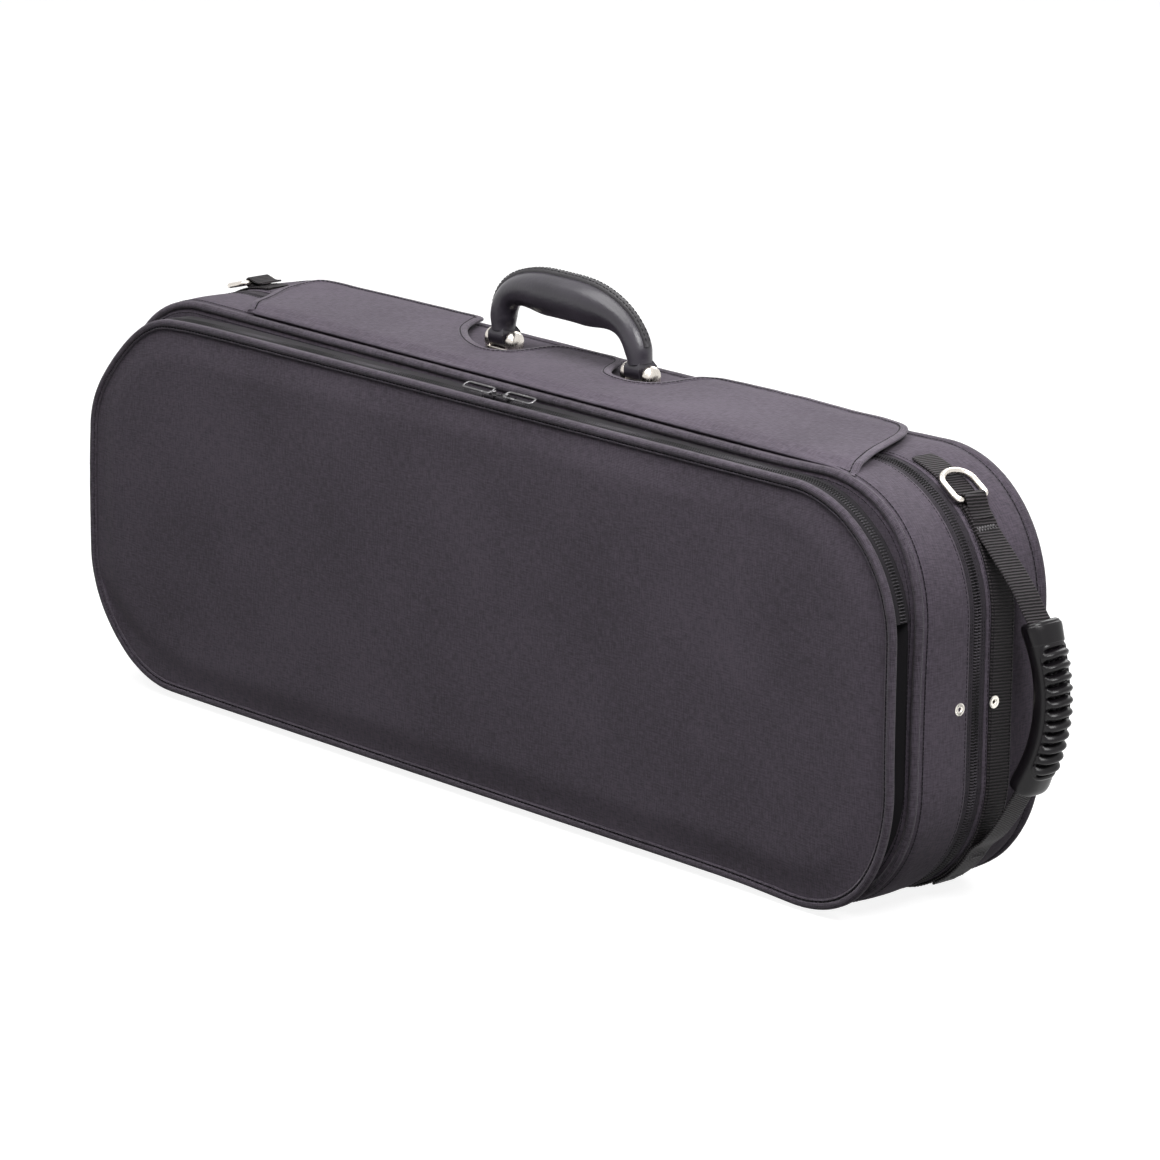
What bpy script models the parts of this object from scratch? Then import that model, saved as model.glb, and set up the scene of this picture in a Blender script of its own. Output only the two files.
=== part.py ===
"""Oblong violin case, closed and standing on its hinge side.

Frame: metres, +Z up, +X along the case, -Y out of the lid. The origin is on the floor,
under the middle of the case's length and depth. The base is the half at +Y, with the
handles and the violin's well. The lid is the half at -Y, with the music pocket.
"""
import math

import bmesh
import bpy
from mathutils import Matrix, Vector

# Whole case
CASE_LENGTH = 0.800
CASE_HEIGHT = 0.281
CORNER_RADIUS = 0.090
LID_DEPTH = 0.0535
BASE_DEPTH = 0.0625
ZIP_Y = (LID_DEPTH - BASE_DEPTH) / 2  # plane where lid and base meet
CORNER_STEPS = 9

# Layers, from the outside in
TOUCH = 0.0003  # gap between pieces that rest on each other
FABRIC = 0.0010
SHELL_WALL = 0.0060
LINING = 0.0020
RIM_GAP = 0.0015  # each shell's rim to the zip plane
COVER_GAP = 0.0070  # each cover's hem to the zip plane
WEBBING = 0.0016
WEB_WIDTH = 0.0200
FRONT_PIPING = 0.0030  # radii of the rolled edges
BACK_PIPING = 0.0045

# Main zip
TAPE_WIDTH = 0.0095
TAPE = 0.0008
BEAD_WIDTH = 0.0029
BEAD_RISE = 0.0014
ZIP_START = -70.0  # turning angles of its two ends
ZIP_END = 250.0

# Case hinges
HINGE_X = 0.220
HINGE_LENGTH = 0.060
HINGE_RADIUS = 0.0020
HINGE_PIN = 0.0008
HINGE_BORE = 0.0011
HINGE_Z = HINGE_RADIUS + 0.0002
HINGE_GROOVE = 0.0034  # half width of the groove between the bottom rims
LEAF = 0.00095
LEAF_REACH = 0.0150
KNUCKLES = 5

# Rain flap over the zip
FLAP_THICKNESS = 0.0014
FLAP_SEAM_Y = -0.0500
FLAP_BACK_Y = 0.0540
FLAP_BINDING = 0.0060
PAD = 0.0018  # hook or loop half of a fastener pad
PAD_LENGTH = 0.090
PAD_WIDTH = 0.020
PAD_X = 0.190
PAD_Y = 0.024

# Top handle
HANDLE_X = 0.0030
HANDLE_Y = 0.0120
HANDLE_SPAN = 0.1360
HANDLE_RISE = 0.0360  # pin to the middle of the grip
HANDLE_CURVE = 2.6  # exponent of the arch
LEG_RADIUS = 0.0088
GRIP_HALF_HEIGHT = 0.0144
GRIP_HALF_WIDTH = 0.0130
TAB_WIDTH = 0.0150
TAB_DEPTH = 0.0108
WELT_WIDTH = 0.0044
WELT_HEIGHT = 0.0022
CHAPE_LENGTH = 0.0300
CHAPE_WIDTH = 0.0142
CHAPE_HEIGHT = 0.0136
CHAPE_FOOT = 0.0016
PIN_RISE = 0.0095  # pin above the case's top
PIN_RADIUS = 0.0020
PIN_CLEARANCE = 0.0003
PIN_LENGTH = 0.0260
RUNNING_GAP = 0.0004
PIN_SEAT = 0.0002  # pin's clearance in the ears
TAB_RISE = 0.0100  # where the tab turns into the leg, above the pin
HANDLE_BULGE_TOP = 0.0022
HANDLE_BULGE_UNDER = 0.0090

# Webbing, D-rings and the end handle
BAND_Y = 0.0155
RING_WIRE = 0.0019
RING_WIDTH = 0.0260  # between the wire's centres
RING_HEIGHT = 0.0240
LOOP_WALL = 0.0014
LOOP_LENGTH = 0.0180
RING_ANGLE_RIGHT = 49.0
RING_ANGLE_LEFT = 105.0
BAND_TIP_ANGLE = 79.0
BAND_FOOT_ANGLE = -74.0
PATCH_TIP_ANGLE = 90.5
PATCH_FOOT_ANGLE = 126.0
GRIP_TOP = Vector((CASE_LENGTH / 2 + 0.0300, BAND_Y, CASE_HEIGHT / 2 + 0.0555))
GRIP_FOOT = Vector((CASE_LENGTH / 2 + 0.0235, BAND_Y, CASE_HEIGHT / 2 - 0.0525))
GRIP_BOW = 0.0140
GRIP_RIBS = 11
RIB_HEIGHT = 0.0022
END_GRIP_DEPTH = 0.0100  # half sizes at the middle of the grip
END_GRIP_WIDTH = 0.0110
END_GRIP_FLARE = 0.0140  # half width at its two ends
# Where the straps leave the case for the grip: offsets (x, z) from its two ends
UPPER_STRAP_FREE = ((-0.0300, 0.0330), (-0.0145, 0.0175), (-0.0040, 0.0040))
LOWER_STRAP_FREE = ((-0.0280, -0.0400), (-0.0165, -0.0255), (-0.0060, -0.0090))
SWING_X = CASE_LENGTH / 2 - 0.0120

# Lid stay
STAY_Z = CASE_HEIGHT / 2 - 0.0015
STAY_LID_Y = -0.0200
STAY_BASE_Y = 0.0085
RIVET_HEAD = 0.0043
RIVET_BARREL = 0.0022
RIVET_HOLE = 0.0012
STAY_WIDTH = 0.0080
STAY_THICKNESS = 0.0008
STAY_DROP = 0.0900

# Music pocket
POCKET_INSET = 0.0050
POCKET_RADIUS = 0.0900
POCKET_DEPTH = 0.0200  # at the middle of the case
POCKET_LEAN = -0.0214  # the panel stands further out towards -X, per metre
PANEL = 0.0030
PANEL_CROWN = 0.0025
BINDING_WIDTH = 0.0060
BINDING = 0.0050
POCKET_ZIP_OFFSET = 0.0065  # zip's middle behind the panel
POCKET_TAPE = 0.0040
POCKET_ZIP_START = 9.0
POCKET_ZIP_END = 171.0
GUSSET_FOLD = 0.0060

# Zip sliders and pulls
SLIDER_LENGTH = 0.0110
SLIDER_WALL = 0.0009
SLIDER_PLATE = 0.0012
LUG_LENGTH = 0.0040
LUG_WIDTH = 0.0030
LUG_HEIGHT = 0.0022
LUG_BORE = 0.0006
PULL_HINGE = 0.0012  # pull's bar above the slider's plate
PULL_BAR = 0.0004
PULL_LENGTH = 0.0290
PULL_WIDTH = 0.0078
PULL = 0.0008
PULL_RIM = 0.0013
MAIN_SLIDER_X = 0.0100
POCKET_SLIDER_X = 0.0255
SLIDER_SPACING = 0.0130

# Violin and its well
VIOLIN_START = 0.0280 - CASE_LENGTH / 2  # end of the lower bout
BODY_LENGTH = 0.3560
LOWER_BOUT = 0.2080
WAIST = 0.1120
UPPER_BOUT = 0.1680
SCROLL_LENGTH = 0.2420
NECK_CHANNEL = 0.0280  # half widths
SCROLL_CHANNEL = 0.0440
VIOLIN_ROOM = 0.0050
FOAM_DROP = 0.0040  # foam's top below the zip plane
FOAM_SPLIT = 0.0060  # where the two foam pieces meet
STAY_SLOT = 0.0060
CUT_PAST = 0.0100  # how far a cutter runs on past what it cuts
BLOCK_PAD_HEIGHT = 0.0120
LOWER_PAD = (0.0120, 0.0520, 0.0380)  # start and end from the body's end, half width
UPPER_PAD = (0.0520, 0.0160, 0.0340)  # start and end before the shoulder, half width
CRADLE_X = 0.0550
CRADLE_LENGTH = 0.0400
CRADLE_NOTCH = 0.0150
CRADLE_DROP = 0.0050  # cradle's ears below the foam's top
STRAP_WIDTH = 0.0220
STRAP_THICKNESS = 0.0015

# Compartments
END_BAY = (CASE_LENGTH / 2 - 0.1480, CASE_LENGTH / 2 - 0.0300)
END_BAY_HEIGHT = CASE_HEIGHT - 0.0710
END_BAY_RADIUS = 0.0550
BOX_START = 0.0200
BOX_LENGTH = 0.2000
BOX_LOW = CASE_HEIGHT - 0.0660
BOX_WIDTH = 0.0460
BOX_WALL = 0.0018
BOX_LID = 0.0025
TAB_SIZE = 0.0140

# Bow holders
BOW_Z = (CASE_HEIGHT / 2 - 0.0565, CASE_HEIGHT / 2 + 0.0555)
SPINNER_X = 0.0800 - CASE_LENGTH / 2
SPINNER_LENGTH = 0.0340
SPINNER_WIDTH = 0.0090
SPINNER = 0.0040
SPINNER_POST = 0.0030
SPINNER_RISE = 0.0140
TIP_LOOP_X = CASE_LENGTH / 2 - 0.0750
TIP_LOOP_WIDTH = 0.0280
TIP_LOOP_HEIGHT = 0.0150
TIP_LOOP_LENGTH = 0.0180
TIP_LOOP_WALL = 0.0014

# Worked out from the sizes above
LID_FACE = ZIP_Y - LID_DEPTH
BASE_FACE = ZIP_Y + BASE_DEPTH
SHELL_INSET = FABRIC + TOUCH
INNER_INSET = SHELL_INSET + SHELL_WALL
SLOPE = math.sqrt(2) - 1  # how a 45 degree chamfer's corners move inwards
FLAT_HALF = CASE_LENGTH / 2 - CORNER_RADIUS
CASE_FORM = (CASE_LENGTH, CASE_HEIGHT, CORNER_RADIUS, 0.0)
POCKET_FORM = (CASE_LENGTH - 2 * POCKET_INSET, CASE_HEIGHT - 2 * POCKET_INSET,
               POCKET_RADIUS, POCKET_INSET)
TAPE_INSET = FABRIC + TOUCH
REBATE = TAPE + TOUCH
FLAP_Z = CASE_HEIGHT + 2 * (TOUCH + PAD)
FLAP_TOP = FLAP_Z + FLAP_THICKNESS
PANEL_BACK = LID_FACE - POCKET_DEPTH
POCKET_ZIP_Y = PANEL_BACK + POCKET_ZIP_OFFSET
LID_LINING_Y = LID_FACE + INNER_INSET + TOUCH + LINING
BASE_LINING_Y = BASE_FACE - INNER_INSET - TOUCH - LINING  # floor of the wells
FOAM_TOP = ZIP_Y + FOAM_DROP
FOAM_FLOOR = BASE_LINING_Y - TOUCH
VIOLIN_Z = CASE_HEIGHT / 2
PIN_Z = CASE_HEIGHT + PIN_RISE
BAND_OUT = TOUCH + WEBBING  # webbing's outer face above the cover
BOX_DEPTH = BASE_LINING_Y - FOAM_TOP - 0.006

COLOURS = {
    "canvas": ((0.055, 0.050, 0.056), 0.90, 0.0),
    "shell board": ((0.060, 0.055, 0.050), 0.80, 0.0),
    "plush": ((0.070, 0.075, 0.100), 0.95, 0.0),
    "webbing": ((0.030, 0.028, 0.030), 0.85, 0.0),
    "zip tape": ((0.025, 0.024, 0.026), 0.80, 0.0),
    "nickel": ((0.780, 0.750, 0.720), 0.25, 1.0),
    "black metal": ((0.035, 0.035, 0.035), 0.35, 0.8),
    "leather": ((0.035, 0.034, 0.036), 0.45, 0.0),
    "rubber": ((0.030, 0.030, 0.032), 0.55, 0.0),
}

parts = None
cutters = None


# ---- Scene, materials and modelling helpers ----

def clear_scene():
    for obj in list(bpy.data.objects):
        bpy.data.objects.remove(obj, do_unlink=True)


def new_collection(name):
    collection = bpy.data.collections.new(name)
    bpy.context.scene.collection.children.link(collection)
    return collection


def look(name, kind):
    """A Principled material of its own for each part."""
    colour, roughness, metallic = COLOURS[kind]
    material = bpy.data.materials.new(name)
    material.use_nodes = True
    shader = material.node_tree.nodes["Principled BSDF"]
    shader.inputs["Base Color"].default_value = (*colour, 1.0)
    shader.inputs["Roughness"].default_value = roughness
    shader.inputs["Metallic"].default_value = metallic
    return material


def add_part(name, mesh, kind, smooth=40.0):
    mesh.materials.append(look(name, kind))
    mesh.shade_smooth()
    mesh.set_sharp_from_angle(angle=math.radians(smooth))
    obj = bpy.data.objects.new(name, mesh)
    parts.objects.link(obj)
    return obj


def add_tool(name, mesh):
    """A hidden solid that another piece is cut by or joined with."""
    obj = bpy.data.objects.new(name, mesh)
    obj.hide_render = True
    obj.display_type = "WIRE"
    cutters.objects.link(obj)
    return obj


def boolean(obj, tool, operation):
    modifier = obj.modifiers.new(f"{operation.lower()} {tool.name}", "BOOLEAN")
    modifier.object = tool
    modifier.operation = operation
    modifier.solver = "EXACT"
    return obj


def cut(obj, *tools):
    for tool in tools:
        boolean(obj, tool, "DIFFERENCE")
    return obj


def join(obj, *tools):
    for tool in tools:
        boolean(obj, tool, "UNION")
    return obj


def bevel(obj, width, segments=2, angle=40.0):
    modifier = obj.modifiers.new("rounded edges", "BEVEL")
    modifier.width = width
    modifier.segments = segments
    modifier.limit_method = "ANGLE"
    modifier.angle_limit = math.radians(angle)
    return obj


def finish_mesh(name, bm):
    bmesh.ops.recalc_face_normals(bm, faces=bm.faces)
    mesh = bpy.data.meshes.new(name)
    bm.to_mesh(mesh)
    bm.free()
    return mesh


def loft(name, rings, closed=False):
    """Skin between rings with as many points each, capped unless the last meets the first."""
    bm = bmesh.new()
    rows = [[bm.verts.new(point) for point in ring] for ring in rings]
    pairs = list(zip(rows, rows[1:]))
    if closed:
        pairs.append((rows[-1], rows[0]))
    else:
        bm.faces.new(rows[0])
        bm.faces.new(rows[-1])
    for near, far in pairs:
        for k in range(len(near)):
            after = (k + 1) % len(near)
            bm.faces.new((near[k], near[after], far[after], far[k]))
    return finish_mesh(name, bm)


def block(name, low, high):
    """A box between two corners."""
    bm = bmesh.new()
    low = Vector(low)
    high = Vector(high)
    size = Matrix.Diagonal((*(high - low), 1.0))
    bmesh.ops.create_cube(bm, size=1.0, matrix=Matrix.Translation((low + high) / 2) @ size)
    return finish_mesh(name, bm)


def rod(name, start, end, radius, sides=16):
    """A cylinder from one point to another."""
    start = Vector(start)
    run = Vector(end) - start
    turn = run.to_track_quat("Z", "Y").to_matrix().to_4x4()
    bm = bmesh.new()
    bmesh.ops.create_cone(bm, cap_ends=True, segments=sides, radius1=radius, radius2=radius,
                          depth=run.length, matrix=Matrix.Translation(start + run / 2) @ turn)
    return finish_mesh(name, bm)


def extrude(name, outline_points, along, start, end):
    """A flat outline made solid along X, Y or Z; its points are in the other two, in order."""
    def place(point, level):
        values = list(point)
        values.insert("XYZ".index(along), level)
        return Vector(values)
    rings = [[place(point, level) for point in outline_points] for level in (start, end)]
    return loft(name, rings)


def arc(centre, radius, start, end, steps):
    """Points on a circle or, with two radii, on an ellipse. Angles are in degrees."""
    across, up = radius if isinstance(radius, tuple) else (radius, radius)
    points = []
    for k in range(steps + 1):
        angle = math.radians(start + (end - start) * k / steps)
        points.append((centre[0] + across * math.cos(angle), centre[1] + up * math.sin(angle)))
    return points


def rounded_box(low, high, radius, steps=4):
    """Outline of a rectangle with round corners, in any two axes."""
    points = []
    corners = ((high[0], low[1], -90), (high[0], high[1], 0), (low[0], high[1], 90),
               (low[0], low[1], 180))
    for x, y, start in corners:
        centre = (x - math.copysign(radius, x - (low[0] + high[0]) / 2),
                  y - math.copysign(radius, y - (low[1] + high[1]) / 2))
        points += arc(centre, radius, start, start + 90, steps)
    return points


def outline(form, inset=0.0, start=-90.0, end=270.0):
    """Points (x, z) round a case outline, moved in by inset.

    start and end are turning angles: the lower right corner runs from -90 to 0, the upper
    right one from 0 to 90, and so on, with the straight sides between them.
    """
    length, height, radius, bottom = form
    points = []
    for corner in range(8):
        low = -90.0 + 90.0 * corner
        first = max(low, start)
        last = min(low + 90.0, end)
        if last - first < 1e-6:
            continue
        side = 1 if corner % 4 in (0, 1) else -1
        level = bottom + (radius if corner % 4 in (0, 3) else height - radius)
        centre = (side * (length / 2 - radius), level)
        grid = [low + 90.0 * k / CORNER_STEPS for k in range(1, CORNER_STEPS)]
        angles = [first] + [a for a in grid if first + 1.0 < a < last - 1.0] + [last]
        for angle in (math.radians(a) for a in angles):
            points.append((centre[0] + (radius - inset) * math.cos(angle),
                           centre[1] + (radius - inset) * math.sin(angle)))
    return points


def level_ring(form, inset, y, lean=0.0):
    return [Vector((x, y - lean * POCKET_LEAN * x, z)) for x, z in outline(form, inset)]


def sweep(name, form, profile, start=None, end=None):
    """A profile of (y, inset) or (y, inset, lean) points, run round an outline."""
    closed = start is None
    span = {} if closed else {"start": start, "end": end}
    runs = [outline(form, point[1], **span) for point in profile]
    leans = [point[2] if len(point) > 2 else 0.0 for point in profile]
    rings = []
    for k in range(len(runs[0])):
        ring = []
        for run, point, lean in zip(runs, profile, leans):
            x, z = run[k]
            ring.append(Vector((x, point[0] - lean * POCKET_LEAN * x, z)))
        rings.append(ring)
    return loft(name, rings, closed=closed)


def round_profile(y, inset, radius, sides=8, lean=0.0):
    across, up = radius if isinstance(radius, tuple) else (radius, radius)
    turns = [2 * math.pi * k / sides for k in range(sides)]
    return [(y + across * math.cos(a), inset + up * math.sin(a), lean) for a in turns]


def smooth_path(points, steps):
    """An open curve through the points (Catmull-Rom)."""
    first = 2 * Vector(points[0]) - Vector(points[1])
    last = 2 * Vector(points[-1]) - Vector(points[-2])
    padded = [first] + [Vector(point) for point in points] + [last]
    result = []
    for k in range(1, len(padded) - 2):
        a, b, c, d = padded[k - 1:k + 3]
        for step in range(steps):
            t = step / steps
            result.append(0.5 * ((2 * b) + (c - a) * t + (2 * a - 5 * b + 4 * c - d) * t ** 2
                                 + (3 * b - 3 * c + d - a) * t ** 3))
    return result + [padded[-2]]


def pivot(name, location, members):
    """An empty on a joint's axis, which carries the pieces that turn or slide there."""
    empty = bpy.data.objects.new(name, None)
    empty.location = location
    empty.empty_display_size = 0.01
    parts.objects.link(empty)
    for member in members:
        member.parent = empty
        member.matrix_parent_inverse = Matrix.Translation(-Vector(location))
    return empty


# ---- Shells, covers and rolled edges ----

def half(side):
    """Depth and rolled edge of the base (side 1) or the lid (side -1)."""
    return (BASE_DEPTH, BACK_PIPING) if side > 0 else (LID_DEPTH, FRONT_PIPING)


def chamfer(side):
    """Width of the bevelled edge that the rolled edge fills, flush with both faces."""
    return half(side)[1] * (2 + math.sqrt(2)) + math.sqrt(2) * TOUCH


def chamfer_inset(side, offset, from_face):
    """How far in the bevelled edge of a tray lies at a depth from the face."""
    return chamfer(side) + math.sqrt(2) * offset - from_face


def tray_rings(side, offset, rim_gap):
    """A tray's rim, bevel and face, moved in from the case's outside by offset."""
    face = ZIP_Y + side * half(side)[0]
    edge = chamfer(side) + SLOPE * offset
    return [level_ring(CASE_FORM, offset, ZIP_Y + side * rim_gap),
            level_ring(CASE_FORM, offset, face - side * edge),
            level_ring(CASE_FORM, edge, face - side * offset)]


def shell(name, side):
    """Board shell, its rim stepped down for the zip tape."""
    outer = tray_rings(side, SHELL_INSET, RIM_GAP)
    inner = tray_rings(side, INNER_INSET, RIM_GAP)
    step = SHELL_INSET + REBATE
    step_y = ZIP_Y + side * (TAPE_WIDTH + TOUCH)
    rim = [level_ring(CASE_FORM, step, ZIP_Y + side * RIM_GAP),
           level_ring(CASE_FORM, step, step_y), level_ring(CASE_FORM, SHELL_INSET, step_y)]
    obj = add_part(name, loft(name, inner[::-1] + rim + outer[1:]), "shell board", 30)
    return cut(obj, hinge_groove(side))


def hinge_groove(side):
    """Clears the bottom rim for the knuckles and for the lid's swing."""
    name = "groove in base" if side > 0 else "groove in lid"
    low = (-CASE_LENGTH, ZIP_Y - HINGE_GROOVE, -0.01)
    high = (CASE_LENGTH, ZIP_Y + HINGE_GROOVE, HINGE_Z + 2 * HINGE_RADIUS)
    return add_tool(name, block(name, low, high))


def cover(name, side):
    """Canvas over the shell's face and sides, open where the hinge strip lies."""
    outer = tray_rings(side, 0.0, COVER_GAP)
    inner = tray_rings(side, FABRIC, COVER_GAP)
    obj = add_part(name, loft(name, inner[::-1] + outer), "canvas", 30)
    near = ZIP_Y
    far = strip_end(side) + side * TOUCH
    low = (-FLAT_HALF, min(near, far), -0.001)
    high = (FLAT_HALF, max(near, far), FABRIC + TOUCH / 2)
    tool = add_tool(f"{name} opening", block(f"{name} opening", low, high))
    return cut(obj, tool)


def strip_end(side):
    return ZIP_Y + side * (half(side)[0] - chamfer(side) - 2 * FABRIC)


def hinge_strip(name, side):
    """Flat canvas under the half, which the case stands on."""
    near = ZIP_Y + side * HINGE_GROOVE
    far = strip_end(side)
    reach = FLAT_HALF - TOUCH
    return add_part(name, block(name, (-reach, min(near, far), 0.0),
                                (reach, max(near, far), FABRIC)), "canvas")


def piping(name, side):
    radius = half(side)[1]
    centre = ZIP_Y + side * (half(side)[0] - radius)
    profile = round_profile(centre, radius, radius, sides=8)
    return add_part(name, sweep(name, CASE_FORM, profile), "canvas", 60)


def zip_profile(y, side, inset, width):
    """Half a coil zip: tape, and half the coil along its inner edge."""
    under = inset + TAPE
    split = 0.0002  # half the gap between the two halves
    shape = ((split, under), (width, under), (width, inset), (split + BEAD_WIDTH, inset),
             (BEAD_WIDTH, inset - 0.6 * BEAD_RISE), (0.7 * BEAD_WIDTH, inset - BEAD_RISE),
             (0.3 * BEAD_WIDTH, inset - BEAD_RISE), (split, inset - 0.6 * BEAD_RISE))
    return [(y + side * across, level) for across, level in shape]


def zip_half(name, side):
    profile = zip_profile(ZIP_Y, side, TAPE_INSET, TAPE_WIDTH)
    return add_part(name, sweep(name, CASE_FORM, profile, ZIP_START, ZIP_END), "zip tape", 30)


def stay_hole(name, y):
    """Clears shell, cover and webbing for a lid stay's rivet."""
    start = (CASE_LENGTH / 2 - INNER_INSET - 0.002, y, STAY_Z)
    end = (CASE_LENGTH / 2 + 0.01, y, STAY_Z)
    return add_tool(name, rod(name, start, end, RIVET_BARREL + TOUCH))


def build_base():
    hole = stay_hole("rivet hole in base", STAY_BASE_Y)
    pieces = [cut(shell("base_shell", 1), hole), cut(cover("base_cover", 1), hole),
              hinge_strip("base_hinge_strip", 1), piping("back_piping", 1),
              zip_half("base_zip_tape", 1)]
    return pieces


def build_lid():
    hole = stay_hole("rivet hole in lid", STAY_LID_Y)
    pieces = [cut(shell("lid_shell", -1), hole), cut(cover("lid_cover", -1), hole),
              hinge_strip("lid_hinge_strip", -1), piping("front_piping", -1),
              zip_half("lid_zip_tape", -1)]
    near = LID_FACE + INNER_INSET + TOUCH
    inset = chamfer_inset(-1, INNER_INSET + TOUCH, near - LID_FACE)
    lining = loft("lid_lining", [level_ring(CASE_FORM, inset, near),
                                 level_ring(CASE_FORM, inset, near + LINING)])
    pieces.append(add_part("lid_lining", lining, "plush"))
    return pieces


# ---- Case hinges ----

def hinge_leaf(name, side, x):
    """Bent leaf: knuckles on the pin, a riser between the rims and a foot inside."""
    start = x - HINGE_LENGTH / 2
    pitch = HINGE_LENGTH / KNUCKLES
    inside = INNER_INSET + TOUCH
    clear = HINGE_Z + HINGE_RADIUS + RUNNING_GAP
    near = ZIP_Y + side * TOUCH
    far = near + side * LEAF

    def slab(label, x0, x1, y0, y1, z0, z1):
        return block(label, (x0, min(y0, y1), z0), (x1, max(y0, y1), z1))

    riser = slab(name, start, start + HINGE_LENGTH, near, far, clear, inside + LEAF)
    obj = add_part(name, riser, "black metal", 30)
    foot = slab(f"{name} foot", start, start + HINGE_LENGTH, near, near + side * LEAF_REACH,
                inside, inside + LEAF)
    join(obj, add_tool(f"{name} foot", foot))
    for k in range(KNUCKLES):
        if (k % 2 == 0) != (side > 0):
            continue
        x0 = start + k * pitch + TOUCH / 2
        x1 = start + (k + 1) * pitch - TOUCH / 2
        label = f"{name} knuckle {k}"
        barrel = rod(label, (x0, ZIP_Y, HINGE_Z), (x1, ZIP_Y, HINGE_Z), HINGE_RADIUS, 12)
        web = slab(f"{label} web", x0, x1, near, far, HINGE_Z, clear + LEAF)
        join(obj, add_tool(label, barrel), add_tool(f"{label} web", web))
    if side > 0:
        pin = rod(f"{name} pin", (start + TOUCH / 2, ZIP_Y, HINGE_Z),
                  (start + HINGE_LENGTH - TOUCH / 2, ZIP_Y, HINGE_Z), HINGE_PIN, 12)
        return join(obj, add_tool(f"{name} pin", pin))
    bore = rod(f"{name} bore", (start - 0.001, ZIP_Y, HINGE_Z),
               (start + HINGE_LENGTH + 0.001, ZIP_Y, HINGE_Z), HINGE_BORE, 12)
    return cut(obj, add_tool(f"{name} bore", bore))


# ---- Inside the base ----

def violin_outline():
    """The well's outline (x, z): body, neck channel and scroll bay."""
    lower = LOWER_BOUT / 2 + VIOLIN_ROOM
    waist = WAIST / 2 + VIOLIN_ROOM
    upper = UPPER_BOUT / 2 + VIOLIN_ROOM
    length = BODY_LENGTH + 2 * VIOLIN_ROOM
    shape = ((0.00, 0.46 * lower), (0.07, 0.84 * lower), (0.20, lower), (0.34, 0.87 * lower),
             (0.43, 1.14 * waist), (0.54, waist), (0.64, 1.12 * waist), (0.72, 0.93 * upper),
             (0.80, upper), (0.90, 0.88 * upper), (0.98, 0.52 * upper))
    side = smooth_path([(VIOLIN_START + u * length, w) for u, w in shape], 4)
    shoulder = VIOLIN_START + length
    scroll_end = shoulder + SCROLL_LENGTH
    pegs = scroll_end - 0.11
    side += [Vector((shoulder + 0.008, NECK_CHANNEL)), Vector((pegs, NECK_CHANNEL)),
             Vector((pegs + 0.015, SCROLL_CHANNEL))]
    bend = 0.02
    side += [Vector(p) for p in arc((scroll_end - bend, SCROLL_CHANNEL - bend), bend, 90, 0, 4)]
    upper_side = [(p.x, VIOLIN_Z + p.y) for p in side]
    lower_side = [(p.x, VIOLIN_Z - p.y) for p in reversed(side)]
    return upper_side + lower_side


def box_outline(inset):
    low = (BOX_START + inset, BOX_LOW + inset)
    high = (BOX_START + BOX_LENGTH - inset, BOX_LOW + BOX_WIDTH - inset)
    return rounded_box(low, high, 0.006 - inset, 3)


def foam_tools():
    """The hollows cut into the foam."""
    over = FOAM_TOP - CUT_PAST
    middle = CASE_HEIGHT / 2
    bay = rounded_box((END_BAY[0], middle - END_BAY_HEIGHT / 2),
                      (END_BAY[1], middle + END_BAY_HEIGHT / 2), END_BAY_RADIUS, 5)
    box_floor = FOAM_TOP + BOX_LID + BOX_DEPTH + 2 * TOUCH
    wall = INNER_INSET + TOUCH
    stay_wall = CASE_LENGTH / 2 - wall - STAY_SLOT
    tools = {
        "violin well": extrude("violin well", violin_outline(), "Y", over, BASE_LINING_Y),
        "end bay": extrude("end bay", bay, "Y", over, BASE_LINING_Y),
        "box pocket": extrude("box pocket", box_outline(-TOUCH), "Y", over, box_floor),
        "stay slot": block("stay slot", (stay_wall, over, STAY_Z - STAY_WIDTH),
                           (CASE_LENGTH / 2, STAY_BASE_Y + STAY_WIDTH, STAY_Z + STAY_WIDTH)),
    }
    room = HINGE_LENGTH / 2 + TOUCH
    for label, x in (("left", -HINGE_X), ("right", HINGE_X)):
        name = f"hinge foot pocket {label}"
        tools[name] = block(name, (x - room, over, 0.0),
                            (x + room, ZIP_Y + LEAF_REACH + 0.001, wall + LEAF + TOUCH))
    return [add_tool(name, mesh) for name, mesh in tools.items()]


def base_foam():
    """Foam that fills the base round the well and the compartments, in two pieces."""
    offset = INNER_INSET + TOUCH
    back = BASE_FACE - offset
    rings = [level_ring(CASE_FORM, chamfer_inset(1, offset, offset), back),
             level_ring(CASE_FORM, offset, BASE_FACE - chamfer(1) - SLOPE * offset),
             level_ring(CASE_FORM, offset, FOAM_TOP)]
    tools = foam_tools()
    past = CASE_LENGTH / 2 + CUT_PAST
    for name, start, end in (("well_foam", FOAM_SPLIT - TOUCH / 2, past),
                             ("scroll_foam", -past, FOAM_SPLIT + TOUCH / 2)):
        obj = add_part(name, loft(name, rings), "plush", 35)
        other = block(f"{name} other end", (start, FOAM_TOP - CUT_PAST, -CUT_PAST),
                      (end, BASE_FACE, CASE_HEIGHT + CUT_PAST))
        cut(obj, *tools, add_tool(f"{name} other end", other))


def block_pad(name, x0, x1, half_width):
    """Soft pad under one end of the violin's body."""
    points = rounded_box((x0, VIOLIN_Z - half_width), (x1, VIOLIN_Z + half_width), 0.008)
    top = FOAM_FLOOR - BLOCK_PAD_HEIGHT
    return bevel(add_part(name, extrude(name, points, "Y", top, FOAM_FLOOR), "plush"), 0.002)


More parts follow.
